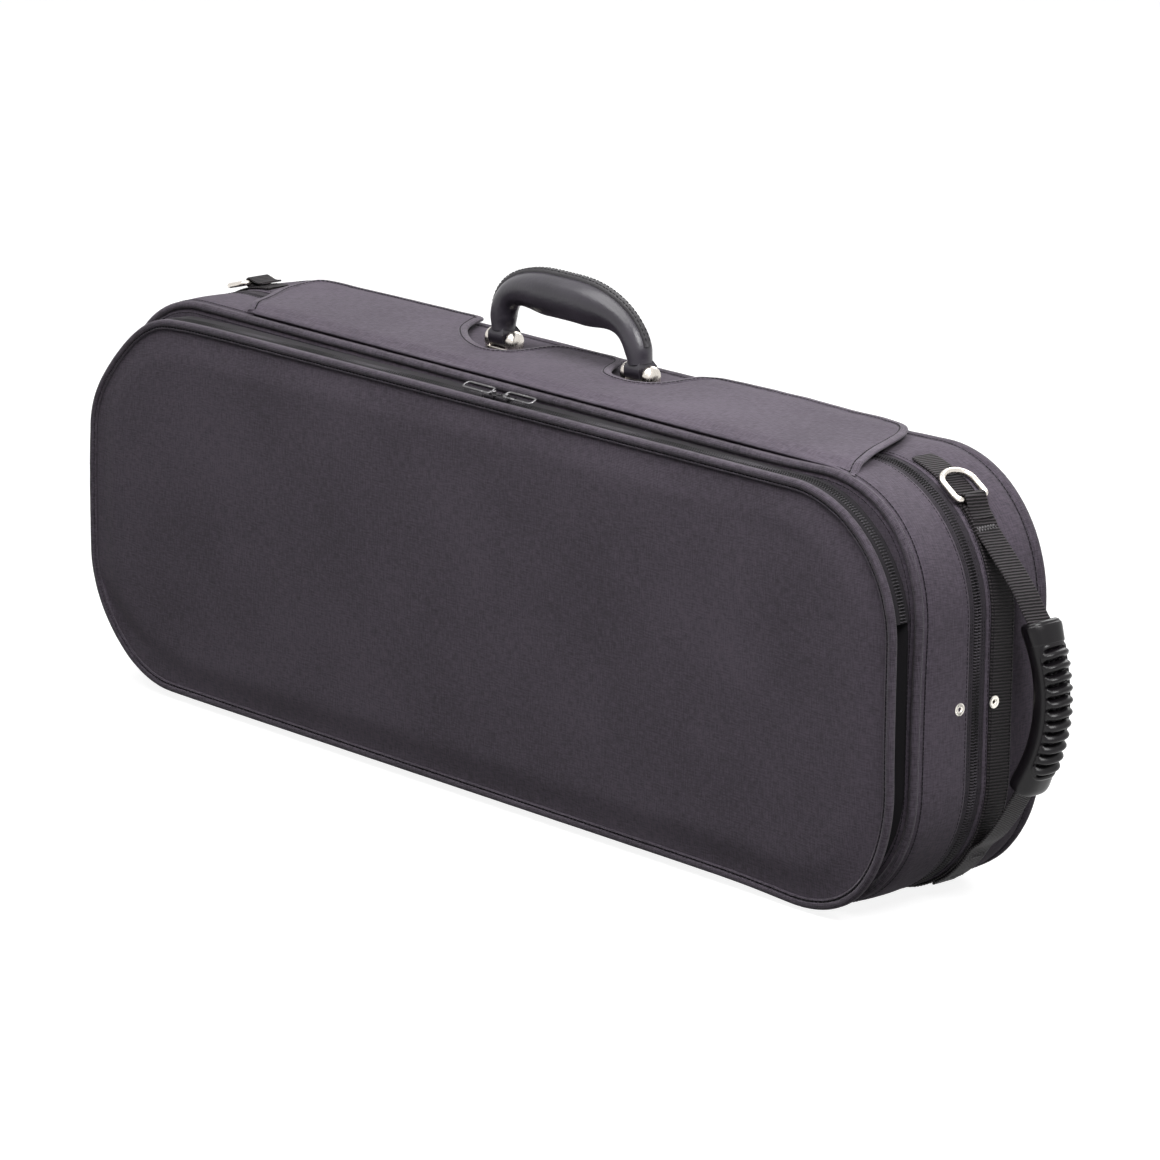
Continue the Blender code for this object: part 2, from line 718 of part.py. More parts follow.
def neck_cradle():
    """Block with a round notch that the neck lies in."""
    reach = NECK_CHANNEL - TOUCH
    ears = FOAM_TOP + CRADLE_DROP
    notch = arc((ears, VIOLIN_Z), CRADLE_NOTCH, -90, 90, 10)
    points = [(FOAM_FLOOR, VIOLIN_Z - reach), (ears, VIOLIN_Z - reach)] + notch
    points += [(ears, VIOLIN_Z + reach), (FOAM_FLOOR, VIOLIN_Z + reach)]
    mesh = extrude("neck_cradle", points, "X", CRADLE_X - CRADLE_LENGTH / 2,
                   CRADLE_X + CRADLE_LENGTH / 2)
    return add_part("neck_cradle", mesh, "plush", 30)


def neck_strap():
    """Strap over the neck, on one ear of the cradle and fastened to the other."""
    reach = NECK_CHANNEL - 0.006
    top = FOAM_TOP + CRADLE_DROP - TOUCH
    points = rounded_box((CRADLE_X - STRAP_WIDTH / 2, VIOLIN_Z - reach),
                         (CRADLE_X + STRAP_WIDTH / 2, VIOLIN_Z + reach), 0.005)
    mesh = extrude("neck_strap", points, "Y", top - STRAP_THICKNESS, top)
    obj = add_part("neck_strap", mesh, "webbing")
    pivot("neck_strap_hinge", (CRADLE_X, top - STRAP_THICKNESS / 2, VIOLIN_Z + reach), [obj])
    return obj


def accessory_box():
    rim = FOAM_TOP + BOX_LID + TOUCH
    floor = rim + BOX_DEPTH

    def ring(inset, y):
        return [Vector((x, y, z)) for x, z in box_outline(inset)]

    rings = [ring(BOX_WALL, floor - BOX_WALL), ring(BOX_WALL, rim), ring(0.0, rim),
             ring(0.0, floor)]
    return add_part("accessory_box", loft("accessory_box", rings), "plush", 35)


def accessory_lid():
    """Lid of the small compartment, with a finger tab near its free edge."""
    points = box_outline(TOUCH)
    mesh = extrude("accessory_lid", points, "Y", FOAM_TOP, FOAM_TOP + BOX_LID)
    obj = add_part("accessory_lid", mesh, "plush")
    middle = BOX_START + BOX_LENGTH / 2
    tab = rounded_box((middle - TAB_SIZE / 2, BOX_LOW + 0.004),
                      (middle + TAB_SIZE / 2, BOX_LOW + 0.004 + TAB_SIZE), 0.005)
    tool = add_tool("finger tab", extrude("finger tab", tab, "Y", FOAM_TOP - 0.0012,
                                          FOAM_TOP + 0.001))
    join(obj, tool)
    pivot("accessory_lid_hinge", (middle, FOAM_TOP, BOX_LOW + BOX_WIDTH - TOUCH), [obj])
    return obj


def build_inside():
    base_foam()
    shoulder = VIOLIN_START + BODY_LENGTH + 2 * VIOLIN_ROOM
    near, far, half_width = LOWER_PAD
    block_pad("lower_block_pad", VIOLIN_START + near, VIOLIN_START + far, half_width)
    near, far, half_width = UPPER_PAD
    block_pad("upper_block_pad", shoulder - near, shoulder - far, half_width)
    neck_cradle()
    neck_strap()
    accessory_box()
    accessory_lid()


# ---- Inside the lid ----

def bow_spinner(name, z):
    """Turning catch that a bow's frog lies under."""
    seat = LID_LINING_Y + TOUCH
    top = seat + SPINNER_RISE
    reach = SPINNER_LENGTH / 2
    points = rounded_box((SPINNER_X - SPINNER_WIDTH / 2, z - reach),
                         (SPINNER_X + SPINNER_WIDTH / 2, z + reach), 0.004)
    obj = add_part(name, extrude(name, points, "Y", top, top + SPINNER), "leather")
    post = rod(f"{name} post", (SPINNER_X, seat, z), (SPINNER_X, top + 0.001, z), SPINNER_POST)
    foot = rod(f"{name} foot", (SPINNER_X, seat, z), (SPINNER_X, seat + 0.0015, z),
               2.6 * SPINNER_POST, 20)
    join(obj, add_tool(f"{name} post", post), add_tool(f"{name} foot", foot))
    pivot(f"{name}_turn", (SPINNER_X, seat, z), [obj])
    return obj


def bow_tip_loop(name, z):
    """Ribbon tunnel that holds a bow's tip."""
    seat = LID_LINING_Y + TOUCH
    wide = (TIP_LOOP_HEIGHT, TIP_LOOP_WIDTH / 2)
    narrow = (TIP_LOOP_HEIGHT - TIP_LOOP_WALL, TIP_LOOP_WIDTH / 2 - TIP_LOOP_WALL)
    start = TIP_LOOP_X - TIP_LOOP_LENGTH / 2
    end = start + TIP_LOOP_LENGTH
    outside = extrude(name, arc((seat, z), wide, -90, 90, 14), "X", start, end)
    floor = seat + TIP_LOOP_WALL
    inside = arc((floor, z), (narrow[0] - TIP_LOOP_WALL, narrow[1]), -90, 90, 14)
    tool = extrude(f"{name} opening", inside, "X", start - 0.001, end + 0.001)
    return cut(add_part(name, outside, "webbing"), add_tool(f"{name} opening", tool))


def eyelet(name, y, side_y):
    """Turned rivet through the end wall, open in the middle."""
    wall = INNER_INSET + TOUCH
    head = BAND_OUT + TOUCH if side_y > 0 else TOUCH
    profile = ((RIVET_HOLE, head + 0.0008), (0.75 * RIVET_HEAD, head + 0.0008),
               (RIVET_HEAD, head), (RIVET_BARREL, head), (RIVET_BARREL, -wall),
               (0.85 * RIVET_HEAD, -wall), (0.85 * RIVET_HEAD, -wall - 0.0006),
               (RIVET_HOLE, -wall - 0.0006))
    rings = []
    turns = 16
    for k in range(turns):
        angle = 2 * math.pi * k / turns
        rings.append([Vector((CASE_LENGTH / 2 + out, y + r * math.cos(angle),
                              STAY_Z + r * math.sin(angle))) for r, out in profile])
    return add_part(name, loft(name, rings, closed=True), "nickel", 50)


def ribbon_outline():
    """Centre line (y, z) of the folded stay, from the base's rivet to the lid's."""
    low = STAY_Z - STAY_DROP
    near = ZIP_Y - RIM_GAP - STAY_WIDTH / 2
    far = STAY_LID_Y - 0.0020
    bend = (near - far) / 2
    turn = 0.006
    start = arc((near + turn, STAY_Z - turn), turn, 90, 180, 4)
    fold = arc(((near + far) / 2, low), bend, 0, -180, 8)
    return [(STAY_BASE_Y, STAY_Z)] + start + fold + [(far, STAY_Z - 0.004)]


def inside_end(z, inset):
    """How far out the right end's wall, moved in by inset, lies at a height."""
    below = max(0.0, CORNER_RADIUS - z)
    return FLAT_HALF + math.sqrt((CORNER_RADIUS - inset - 0.0005) ** 2 - below ** 2)


def lid_stay():
    """Flat ribbon between the two rivets; it unfolds as the lid opens."""
    path = [Vector(point) for point in ribbon_outline()]
    left = []
    right = []
    for k, point in enumerate(path):
        run = (path[min(k + 1, len(path) - 1)] - path[max(k - 1, 0)]).normalized()
        side = Vector((-run.y, run.x)) * STAY_WIDTH / 2
        left.append(point + side)
        right.append(point - side)
    hang = INNER_INSET + 2 * TOUCH + 0.0006
    rings = []
    for a, b in zip(left, right):
        xa = inside_end(a.y, hang)
        xb = inside_end(b.y, hang)
        rings.append([Vector((xa, *a)), Vector((xb, *b)),
                      Vector((xb - STAY_THICKNESS, *b)), Vector((xa - STAY_THICKNESS, *a))])
    return add_part("lid_stay_ribbon", loft("lid_stay_ribbon", rings), "webbing")


def build_lid_fittings():
    for label, z in zip(("lower", "upper"), BOW_Z):
        bow_spinner(f"bow_spinner_{label}", z)
        bow_tip_loop(f"bow_tip_loop_{label}", z)
    eyelet("lid_stay_rivet", STAY_LID_Y, -1)
    eyelet("base_stay_rivet", STAY_BASE_Y, 1)
    lid_stay()


# ---- Music pocket on the lid ----

def pocket_panel():
    """Flat front of the pocket, slightly crowned inside its binding."""
    rim = BINDING_WIDTH + TOUCH
    crown = PANEL_BACK - PANEL - PANEL_CROWN
    rings = [level_ring(POCKET_FORM, rim, PANEL_BACK, 1.0),
             level_ring(POCKET_FORM, rim, PANEL_BACK - PANEL, 1.0),
             level_ring(POCKET_FORM, rim + 0.020, crown, 1.0)]
    return bevel(add_part("pocket_panel", loft("pocket_panel", rings), "canvas", 30), 0.001, 1)


def pocket_binding():
    """Rolled edge round the pocket's front."""
    middle = PANEL_BACK - BINDING / 2
    profile = [(middle + BINDING / 2 * math.sin(a), BINDING_WIDTH / 2 * (1 - math.cos(a)), 1.0)
               for a in (2 * math.pi * k / 8 for k in range(8))]
    return add_part("pocket_binding", sweep("pocket_binding", POCKET_FORM, profile), "canvas", 60)


def pocket_zip(name, side):
    """Half of the pocket's zip; the lid's half carries the gusset back to the case."""
    inset = 0.0015
    under = inset + TAPE
    split = 0.0002
    bead = 0.0026
    shape = [(split, under), (None, under), (None, inset), (bead, inset), (bead, 0.0006),
             (0.7 * bead, 0.0001), (0.3 * bead, 0.0001), (split, 0.0006)]
    profile = []
    for across, level in shape:
        if across is not None:
            profile.append((POCKET_ZIP_Y + side * across, level, 1.0))
        elif side > 0:
            profile.append((LID_FACE - TOUCH, level, 0.0))
        else:
            profile.append((PANEL_BACK + TOUCH, level, 1.0))
    mesh = sweep(name, POCKET_FORM, profile, POCKET_ZIP_START, POCKET_ZIP_END)
    return add_part(name, mesh, "zip tape", 30)


def pocket_gusset():
    """Folded strip that closes the pocket's ends and bottom."""
    back = LID_FACE - TOUCH
    front = PANEL_BACK + TOUCH
    middle = (back + front) / 2
    inset = 0.0015
    profile = [(back, inset, 0.0), (back, inset + FABRIC, 0.0),
               (middle, inset + FABRIC + GUSSET_FOLD, 0.5), (front, inset + FABRIC, 1.0),
               (front, inset, 1.0), (middle, inset + GUSSET_FOLD, 0.5)]
    start = POCKET_ZIP_END + 0.5
    mesh = sweep("pocket_gusset", POCKET_FORM, profile, start, POCKET_ZIP_START + 359.5)
    return add_part("pocket_gusset", mesh, "canvas", 30)


def build_pocket():
    panel = pocket_panel()
    members = [panel, pocket_binding(), pocket_zip("pocket_zip_front", -1)]
    pocket_zip("pocket_zip_rear", 1)
    pocket_gusset()
    pivot("pocket_hinge", (0.0, PANEL_BACK, POCKET_INSET + BINDING_WIDTH), members)


# ---- Rain flap ----

# Points of the flap's ends are (distance in from the case's end, y); the others are (x, y)
FLAP_LEFT_END = ((0.1380, -0.0520), (0.1300, -0.0400), (0.1250, -0.0280),
                 (0.1140, -0.0080), (0.1090, 0.0040), (0.1050, 0.0310),
                 (0.1130, 0.0430), (0.1470, 0.0470))
FLAP_LEFT_EDGE = ((-0.1750, 0.0500), (-0.1290, 0.0510))
FLAP_LEFT_NOTCH = ((-0.1140, 0.0250), (-0.1050, 0.0140), (-0.0820, -0.0030),
                   (-0.0550, -0.0140), (-0.0400, -0.0080), (-0.0350, 0.0060),
                   (-0.0320, 0.0240), (-0.0250, 0.0320), (-0.0150, 0.0340))
FLAP_RIGHT_NOTCH = ((0.0240, 0.0345), (0.0340, 0.0310), (0.0410, 0.0210), (0.0480, 0.0080),
                    (0.0600, -0.0020), (0.0860, -0.0030), (0.0970, 0.0090), (0.1000, 0.0350),
                    (0.1060, 0.0500))
FLAP_RIGHT_EDGE = ((0.1300, 0.0540), (0.1600, 0.0540))
FLAP_RIGHT_END = ((0.1400, 0.0540), (0.1220, 0.0500), (0.1080, 0.0390),
                  (0.0980, 0.0250), (0.0910, 0.0100), (0.0840, -0.0070), (0.0710, -0.0360),
                  (0.0630, -0.0520))


def flap_outline():
    """The flap's free edge (x, y), from its left front corner round to its right one."""
    left_end = [(inward - CASE_LENGTH / 2, y) for inward, y in FLAP_LEFT_END]
    right_end = [(CASE_LENGTH / 2 - inward, y) for inward, y in FLAP_RIGHT_END]
    points = []
    for run in (left_end, FLAP_LEFT_EDGE, FLAP_LEFT_NOTCH, FLAP_RIGHT_NOTCH, FLAP_RIGHT_EDGE,
                right_end):
        points += smooth_path([Vector(point) for point in run], 2)
    return [Vector(point) for point in points]


def offset_path(points, distance):
    """Moves an open run of points to its right-hand side."""
    moved = []
    for k, point in enumerate(points):
        run = points[min(k + 1, len(points) - 1)] - points[max(k - 1, 0)]
        run.normalize()
        moved.append(point + Vector((run.y, -run.x)) * distance)
    return moved


def corner_drop(x):
    """How far the case's top corner has fallen away at x."""
    past = max(0.0, abs(x) - FLAT_HALF)
    return CORNER_RADIUS - math.sqrt(CORNER_RADIUS ** 2 - past ** 2)


def follow_corner(mesh):
    """Bends a flat top piece down over the case's right corner."""
    bm = bmesh.new()
    bm.from_mesh(mesh)
    for x in (FLAT_HALF, FLAT_HALF + 0.009, FLAT_HALF + 0.018):
        geometry = bm.verts[:] + bm.edges[:] + bm.faces[:]
        bmesh.ops.bisect_plane(bm, geom=geometry, plane_co=(x, 0, 0), plane_no=(1, 0, 0))
    for vert in bm.verts:
        vert.co.z -= corner_drop(vert.co.x)
    bmesh.ops.recalc_face_normals(bm, faces=bm.faces)
    bm.to_mesh(mesh)
    bm.free()
    return mesh


def top_flap():
    """Rain flap over the zip, notched round the handle's chapes."""
    inner = offset_path(flap_outline(), FLAP_BINDING + TOUCH)
    front = FLAP_SEAM_Y - 0.0020
    for end, inward in ((0, 1), (-1, -2)):
        run = inner[inward] - inner[end]
        inner[end] = inner[end] + run * (front - inner[end].y) / run.y
    mesh = follow_corner(extrude("top_flap", inner, "Z", FLAP_Z, FLAP_TOP))
    obj = add_part("top_flap", mesh, "canvas", 30)
    hem = block("flap hem", (inner[0].x + 0.001, FLAP_SEAM_Y - 0.0015, CASE_HEIGHT - 0.0002),
                (FLAT_HALF - 0.001, FLAP_SEAM_Y, FLAP_Z + FLAP_THICKNESS / 2))
    join(obj, add_tool("flap hem", hem))
    for label, x in (("left", -PAD_X), ("right", PAD_X)):
        pad = fastener_pad(f"hook pad {label}", x, FLAP_Z - PAD, FLAP_Z + FLAP_THICKNESS / 2)
        join(obj, add_tool(f"hook pad {label}", pad))
    return obj


def fastener_pad(name, x, low, high):
    points = rounded_box((x - PAD_LENGTH / 2, PAD_Y - PAD_WIDTH / 2),
                         (x + PAD_LENGTH / 2, PAD_Y + PAD_WIDTH / 2), 0.003, 3)
    return extrude(name, points, "Z", low, high)


def flap_binding():
    """Rolled binding along the flap's free edge."""
    path = flap_outline()
    middle = FLAP_Z + FLAP_THICKNESS
    rings = []
    sides = 8
    for k in range(sides):
        angle = 2 * math.pi * k / sides
        across = FLAP_BINDING / 2 * (1 - math.cos(angle))
        level = middle + FLAP_THICKNESS * math.sin(angle)
        rings.append([Vector((p.x, p.y, level - corner_drop(p.x)))
                      for p in offset_path(path, across)])
    rings = [list(ring) for ring in zip(*rings)]
    return add_part("flap_binding", loft("flap_binding", rings), "canvas", 60)


def build_flap():
    members = [top_flap(), flap_binding()]
    for label, x in (("left", -PAD_X), ("right", PAD_X)):
        name = f"loop_pad_{label}"
        low = CASE_HEIGHT + TOUCH
        add_part(name, fastener_pad(name, x, low, low + PAD), "webbing")
    pivot("flap_hinge", (0.0, FLAP_SEAM_Y, FLAP_Z), members)


# ---- Zip sliders and pulls ----

def zip_slider(name, x, y, tape_level):
    """Slider body over the closed coil, with a lug for the pull."""
    under = tape_level + TOUCH
    inner = BEAD_WIDTH + 0.0005
    outer = inner + SLIDER_WALL
    ceiling = tape_level + BEAD_RISE + TOUCH
    roof = ceiling + SLIDER_PLATE
    points = [(y - outer, under), (y - outer, roof), (y + outer, roof), (y + outer, under),
              (y + inner, under), (y + inner, ceiling), (y - inner, ceiling), (y - inner, under)]
    half_length = SLIDER_LENGTH / 2
    obj = add_part(name, extrude(name, points, "X", x - half_length, x + half_length),
                   "black metal", 30)
    lug = rounded_box((x - LUG_LENGTH / 2, roof - 0.0005), (x + LUG_LENGTH / 2, roof + LUG_HEIGHT),
                      0.0006, 2)
    join(obj, add_tool(f"{name} lug", extrude(f"{name} lug", lug, "Y", y - LUG_WIDTH / 2,
                                              y + LUG_WIDTH / 2)))
    axis = roof + PULL_HINGE
    bore = rod(f"{name} bore", (x, y - LUG_WIDTH, axis), (x, y + LUG_WIDTH, axis), LUG_BORE, 10)
    return cut(obj, add_tool(f"{name} bore", bore)), axis


def zip_pull(name, x, y, axis, way):
    """Open frame on a thin bar through the slider's lug, lying towards way along X."""
    back = 0.0009
    near = x - way * back
    far = x + way * (PULL_LENGTH - back)
    wide = PULL_WIDTH / 2
    outer = rounded_box((min(near, far), y - wide), (max(near, far), y + wide), 0.0008, 2)
    obj = add_part(name, extrude(name, outer, "Z", axis - PULL / 2, axis + PULL / 2),
                   "black metal", 30)
    inside = x - way * 0.004
    end = far - way * PULL_RIM
    gap = wide - PULL_RIM
    slot = block(f"{name} slot", (min(inside, end), y - gap, axis - 0.002),
                 (max(inside, end), y + gap, axis + 0.002))
    bar = rod(f"{name} bar", (x, y - gap - 0.0005, axis), (x, y + gap + 0.0005, axis), PULL_BAR, 8)
    cut(obj, add_tool(f"{name} slot", slot))
    return join(obj, add_tool(f"{name} bar", bar))


def build_zip_sliders():
    main = (MAIN_SLIDER_X, CASE_HEIGHT - TAPE_INSET, "main", lambda x: ZIP_Y)
    pocket = (POCKET_SLIDER_X, CASE_HEIGHT - POCKET_INSET - 0.0015, "pocket",
              lambda x: POCKET_ZIP_Y - POCKET_LEAN * x)
    for middle, level, label, line in (main, pocket):
        for side, way in (("left", -1), ("right", 1)):
            x = middle + way * SLIDER_SPACING / 2
            y = line(x)
            slider, axis = zip_slider(f"{label}_slider_{side}", x, y, level)
            pull = zip_pull(f"{label}_pull_{side}", x, y, axis, way)
            swing = pivot(f"{label}_pull_{side}_swing", (x, y, axis), [pull])
            pivot(f"{label}_slide_{side}", (x, y, level), [slider, swing])


# ---- Top handle ----

def handle_path(steps):
    """Arched centre line (x, z) from one pin over to the other, as unit-length steps."""
    power = 2 / HANDLE_CURVE
    points = []
    for k in range(steps + 1):
        angle = math.pi * k / steps
        x = -math.copysign(abs(math.cos(angle)) ** power, math.cos(angle))
        points.append(Vector((HANDLE_X + HANDLE_SPAN / 2 * x,
                              PIN_Z + HANDLE_RISE * math.sin(angle) ** power)))
    return points


def even_steps(points, count):
    """Resamples a run of points at equal distances."""
    lengths = [0.0]
    for a, b in zip(points, points[1:]):
        lengths.append(lengths[-1] + (b - a).length)
    result = []
    k = 0
    for step in range(count + 1):
        goal = lengths[-1] * step / count
        while k < len(points) - 2 and lengths[k + 1] < goal:
            k += 1
        part = (goal - lengths[k]) / (lengths[k + 1] - lengths[k])
        result.append(points[k].lerp(points[k + 1], part))
    return result


def handle_frames():
    """Centre, outward direction and fullness (0 at the legs, 1 at the grip) along the arch."""
    path = even_steps([p for p in handle_path(240) if p.y > PIN_Z + TAB_RISE], 30)
    frames = []
    for k, point in enumerate(path):
        run = path[min(k + 1, len(path) - 1)] - path[max(k - 1, 0)]
        run.normalize()
        near_end = min(k, len(path) - 1 - k) / (len(path) - 1)
        part = min(max((near_end - 0.10) / 0.28, 0.0), 1.0)
        frames.append((point, Vector((-run.y, run.x)), part * part * (3 - 2 * part)))
    return frames


def top_handle():
    """Padded leather carrying handle, with a flat tab round the pin at each end."""
    rings = []
    sides = 16
    for centre, out, full in handle_frames():
        ring = []
        for k in range(sides):
            angle = 2 * math.pi * (k + 0.5) / sides
            rise = HANDLE_BULGE_TOP if math.cos(angle) > 0 else HANDLE_BULGE_UNDER
            up = (LEG_RADIUS + full * rise) * math.cos(angle)
            across = (LEG_RADIUS + full * (GRIP_HALF_WIDTH - LEG_RADIUS)) * math.sin(angle)
            point = centre + out * up
            ring.append(Vector((point.x, HANDLE_Y + across, point.y)))
        rings.append(ring)
    obj = add_part("top_handle", loft("top_handle", rings), "leather", 60)
    wide = TAB_WIDTH / 2
    deep = TAB_DEPTH / 2
    for label, x in (("left", HANDLE_X - HANDLE_SPAN / 2), ("right", HANDLE_X + HANDLE_SPAN / 2)):
        inward = 0.003 if label == "left" else -0.003
        rise = TAB_RISE + 0.004
        tab = arc((HANDLE_Y, PIN_Z), deep, 180, 360, 8)
        tab += [(HANDLE_Y + deep, PIN_Z + rise), (HANDLE_Y - deep, PIN_Z + rise)]
        mesh = extrude(f"tab {label}", tab, "X", x - wide, x + wide)
        bore = rod(f"tab bore {label}", (x - 0.02, HANDLE_Y, PIN_Z), (x + 0.02, HANDLE_Y, PIN_Z),
                   PIN_RADIUS + PIN_CLEARANCE, 16)
        join(obj, add_tool(f"tab {label}", mesh))
        cut(obj, add_tool(f"tab bore {label}", bore))
    return obj


def handle_welt():
    """Stitched welt along the top of the handle."""
    rings = []
    for centre, out, full in handle_frames()[2:-2]:
        foot = LEG_RADIUS + full * HANDLE_BULGE_TOP + TOUCH
        shape = ((-WELT_WIDTH / 2, 0.0), (WELT_WIDTH / 2, 0.0),
                 (0.42 * WELT_WIDTH, 0.7 * WELT_HEIGHT), (0.22 * WELT_WIDTH, WELT_HEIGHT),
                 (-0.22 * WELT_WIDTH, WELT_HEIGHT), (-0.42 * WELT_WIDTH, 0.7 * WELT_HEIGHT))
        ring = []
        for across, rise in shape:
            point = centre + out * (foot + rise)
            ring.append(Vector((point.x, HANDLE_Y + across, point.y)))
        rings.append(ring)
    return add_part("handle_welt", loft("handle_welt", rings), "leather", 50)


def chape(name, x):
    """Fixed holder: a foot and two domed ears either side of the handle's tab."""
    seat = CASE_HEIGHT + TOUCH
    wide = CHAPE_WIDTH / 2
    flat = CHAPE_HEIGHT - wide
    points = [(HANDLE_Y - wide, seat), (HANDLE_Y + wide, seat)]
    points += arc((HANDLE_Y, seat + flat), wide, 0, 180, 10)
    reach = CHAPE_LENGTH / 2
    obj = add_part(name, extrude(name, points, "X", x - reach, x + reach), "nickel", 30)
    gap = TAB_WIDTH / 2 + TOUCH
    slot = block(f"{name} slot", (x - gap, HANDLE_Y - 0.02, seat + CHAPE_FOOT),
                 (x + gap, HANDLE_Y + 0.02, seat + 0.03))
    hold = PIN_LENGTH / 2 + TOUCH
    bore = rod(f"{name} bore", (x - hold, HANDLE_Y, PIN_Z), (x + hold, HANDLE_Y, PIN_Z),
               PIN_RADIUS + PIN_SEAT, 16)
    return cut(bevel(obj, 0.0008, 2), add_tool(f"{name} slot", slot),
               add_tool(f"{name} bore", bore))


def build_top_handle():
    for label, x in (("left", HANDLE_X - HANDLE_SPAN / 2), ("right", HANDLE_X + HANDLE_SPAN / 2)):
        chape(f"handle_chape_{label}", x)
        name = f"handle_pin_{label}"
        half_length = PIN_LENGTH / 2
        add_part(name, rod(name, (x - half_length, HANDLE_Y, PIN_Z),
                           (x + half_length, HANDLE_Y, PIN_Z), PIN_RADIUS, 16), "nickel")
    pivot("top_handle_hinge", (HANDLE_X, HANDLE_Y, PIN_Z), [top_handle(), handle_welt()])


# ---- Webbing, D-rings and the end handle ----

def corner_point(angle, out):
    """Point (x, z) at a height above the cover, at a turning angle of the outline."""
    return Vector(outline(CASE_FORM, -out, angle, angle + 0.01)[0])


def webbing(name, start, end, tip):
    """Flat webbing along the outline; its first end is pointed over the length tip."""
    span = (min(start, end), max(start, end))
    first = outline(CASE_FORM, -TOUCH, *span)
    second = outline(CASE_FORM, -BAND_OUT, *span)
    if start > end:
        first.reverse()
        second.reverse()
    rings = []
    run = 0.0
    for k, (a, b) in enumerate(zip(first, second)):
        run += (Vector(a) - Vector(first[max(k - 1, 0)])).length
        wide = WEB_WIDTH / 2 * min(1.0, 0.12 + 0.88 * run / tip)
        rings.append([Vector((a[0], BAND_Y - wide, a[1])), Vector((a[0], BAND_Y + wide, a[1])),
                      Vector((b[0], BAND_Y + wide, b[1])), Vector((b[0], BAND_Y - wide, b[1]))])
    return add_part(name, loft(name, rings), "webbing", 30)


def ring_centre(angle):
    return corner_point(angle, BAND_OUT - 0.0004 + RING_WIRE + TOUCH + LOOP_WALL)


def ring_loop(obj, angle):
    """Sews a loop for a D-ring's bar onto a piece of webbing."""
    centre = ring_centre(angle)
    reach = LOOP_LENGTH / 2
    ends = ((centre.x, BAND_Y - reach, centre.y), (centre.x, BAND_Y + reach, centre.y))
    past = ((centre.x, BAND_Y - 0.02, centre.y), (centre.x, BAND_Y + 0.02, centre.y))
    name = f"{obj.name} loop"
    inner = RING_WIRE + TOUCH
    join(obj, add_tool(name, rod(name, *ends, inner + LOOP_WALL, 16)))
    return cut(obj, add_tool(f"{name} bore", rod(f"{name} bore", *past, inner, 16)))


def d_ring(name, angle, lean):
    """D-shaped wire ring, its straight bar in the webbing's loop."""
    centre = ring_centre(angle)
    wide = RING_WIDTH / 2
    bend = 0.0035
    path = [(-wide + bend, 0.0), (0.0, 0.0), (wide - bend, 0.0)]
    path += arc((wide - bend, bend), bend, -60, 0, 2)
    path += arc((0.0, RING_HEIGHT - 0.8 * wide), (wide, 0.8 * wide), 10, 170, 10)
    path += arc((-wide + bend, bend), bend, 180, 240, 2)
    turn = math.radians(angle + 90.0 + lean)
    along = Vector((math.cos(turn), 0.0, math.sin(turn)))
    normal = Vector((math.cos(turn - math.pi / 2), 0.0, math.sin(turn - math.pi / 2)))
    middle = Vector((centre.x, BAND_Y, centre.y))
    rings = []
    count = len(path)
    for k, (a, b) in enumerate(path):
        before = Vector(path[k - 1])
        after = Vector(path[(k + 1) % count])
        flow = (after - before).normalized()
        side = Vector((0.0, flow.y, 0.0)) - along * flow.x
        point = middle + Vector((0.0, a, 0.0)) + along * b
        ring = []
        for j in range(8):
            spin = 2 * math.pi * j / 8
            ring.append(point + RING_WIRE * (side * math.cos(spin) + normal * math.sin(spin)))
        rings.append(ring)
    return add_part(name, loft(name, rings, closed=True), "nickel", 60)


def grip_path(part):
    """Centre of the end grip, 0 at its top and 1 at its foot."""
    point = GRIP_TOP.lerp(GRIP_FOOT, part)
    return point + Vector((GRIP_BOW * math.sin(math.pi * part), 0.0, 0.0))


def end_grip():
    """Moulded grip: smooth collars, and ribs along the outer side between them."""
    parts_of_length = [0.0, 0.02, 0.06, 0.11, 0.145]
    ribs = []
    pitch = (0.855 - 0.155) / GRIP_RIBS
    for k in range(GRIP_RIBS):
        start = 0.155 + k * pitch
        ribs += [(start, 0.0), (start + 0.30 * pitch, 1.0), (start + 0.70 * pitch, 1.0)]
    stations = [(part, 0.0) for part in parts_of_length] + ribs + [(0.855, 0.0)]
    stations += [(1.0 - part, 0.0) for part in reversed(parts_of_length)][0:]
    rings = []
    sides = 16
    for part, rib in stations:
        centre = grip_path(part)
        run = (grip_path(part + 0.01) - grip_path(part - 0.01)).normalized()
        out = Vector((-run.z, 0.0, run.x))
        ends = abs(2 * part - 1) ** 3
        wide = END_GRIP_WIDTH + (END_GRIP_FLARE - END_GRIP_WIDTH) * ends
        rounding = 0.0015 if part in (0.0, 1.0) else 0.0
        ring = []
        for k in range(sides):
            angle = 2 * math.pi * (k + 0.5) / sides
            lift = RIB_HEIGHT * rib * max(0.0, math.cos(angle)) ** 0.5
            deep = END_GRIP_DEPTH - rounding
            corner = 0.75
            c = math.copysign(abs(math.cos(angle)) ** corner, math.cos(angle))
            s = math.copysign(abs(math.sin(angle)) ** corner, math.sin(angle))
            ring.append(centre + out * (deep * c + lift) + Vector((0, (wide - rounding) * s, 0)))
        rings.append(ring)
    obj = add_part("end_grip", loft("end_grip", rings), "rubber", 40)
    for label in ("upper", "lower"):
        strap = strap_path(label)
        name = f"{label} strap socket"
        cut(obj, add_tool(name, ribbon(name, strap, WEB_WIDTH / 2 + TOUCH,
                                       WEBBING / 2 + TOUCH, TOUCH)))
    return obj


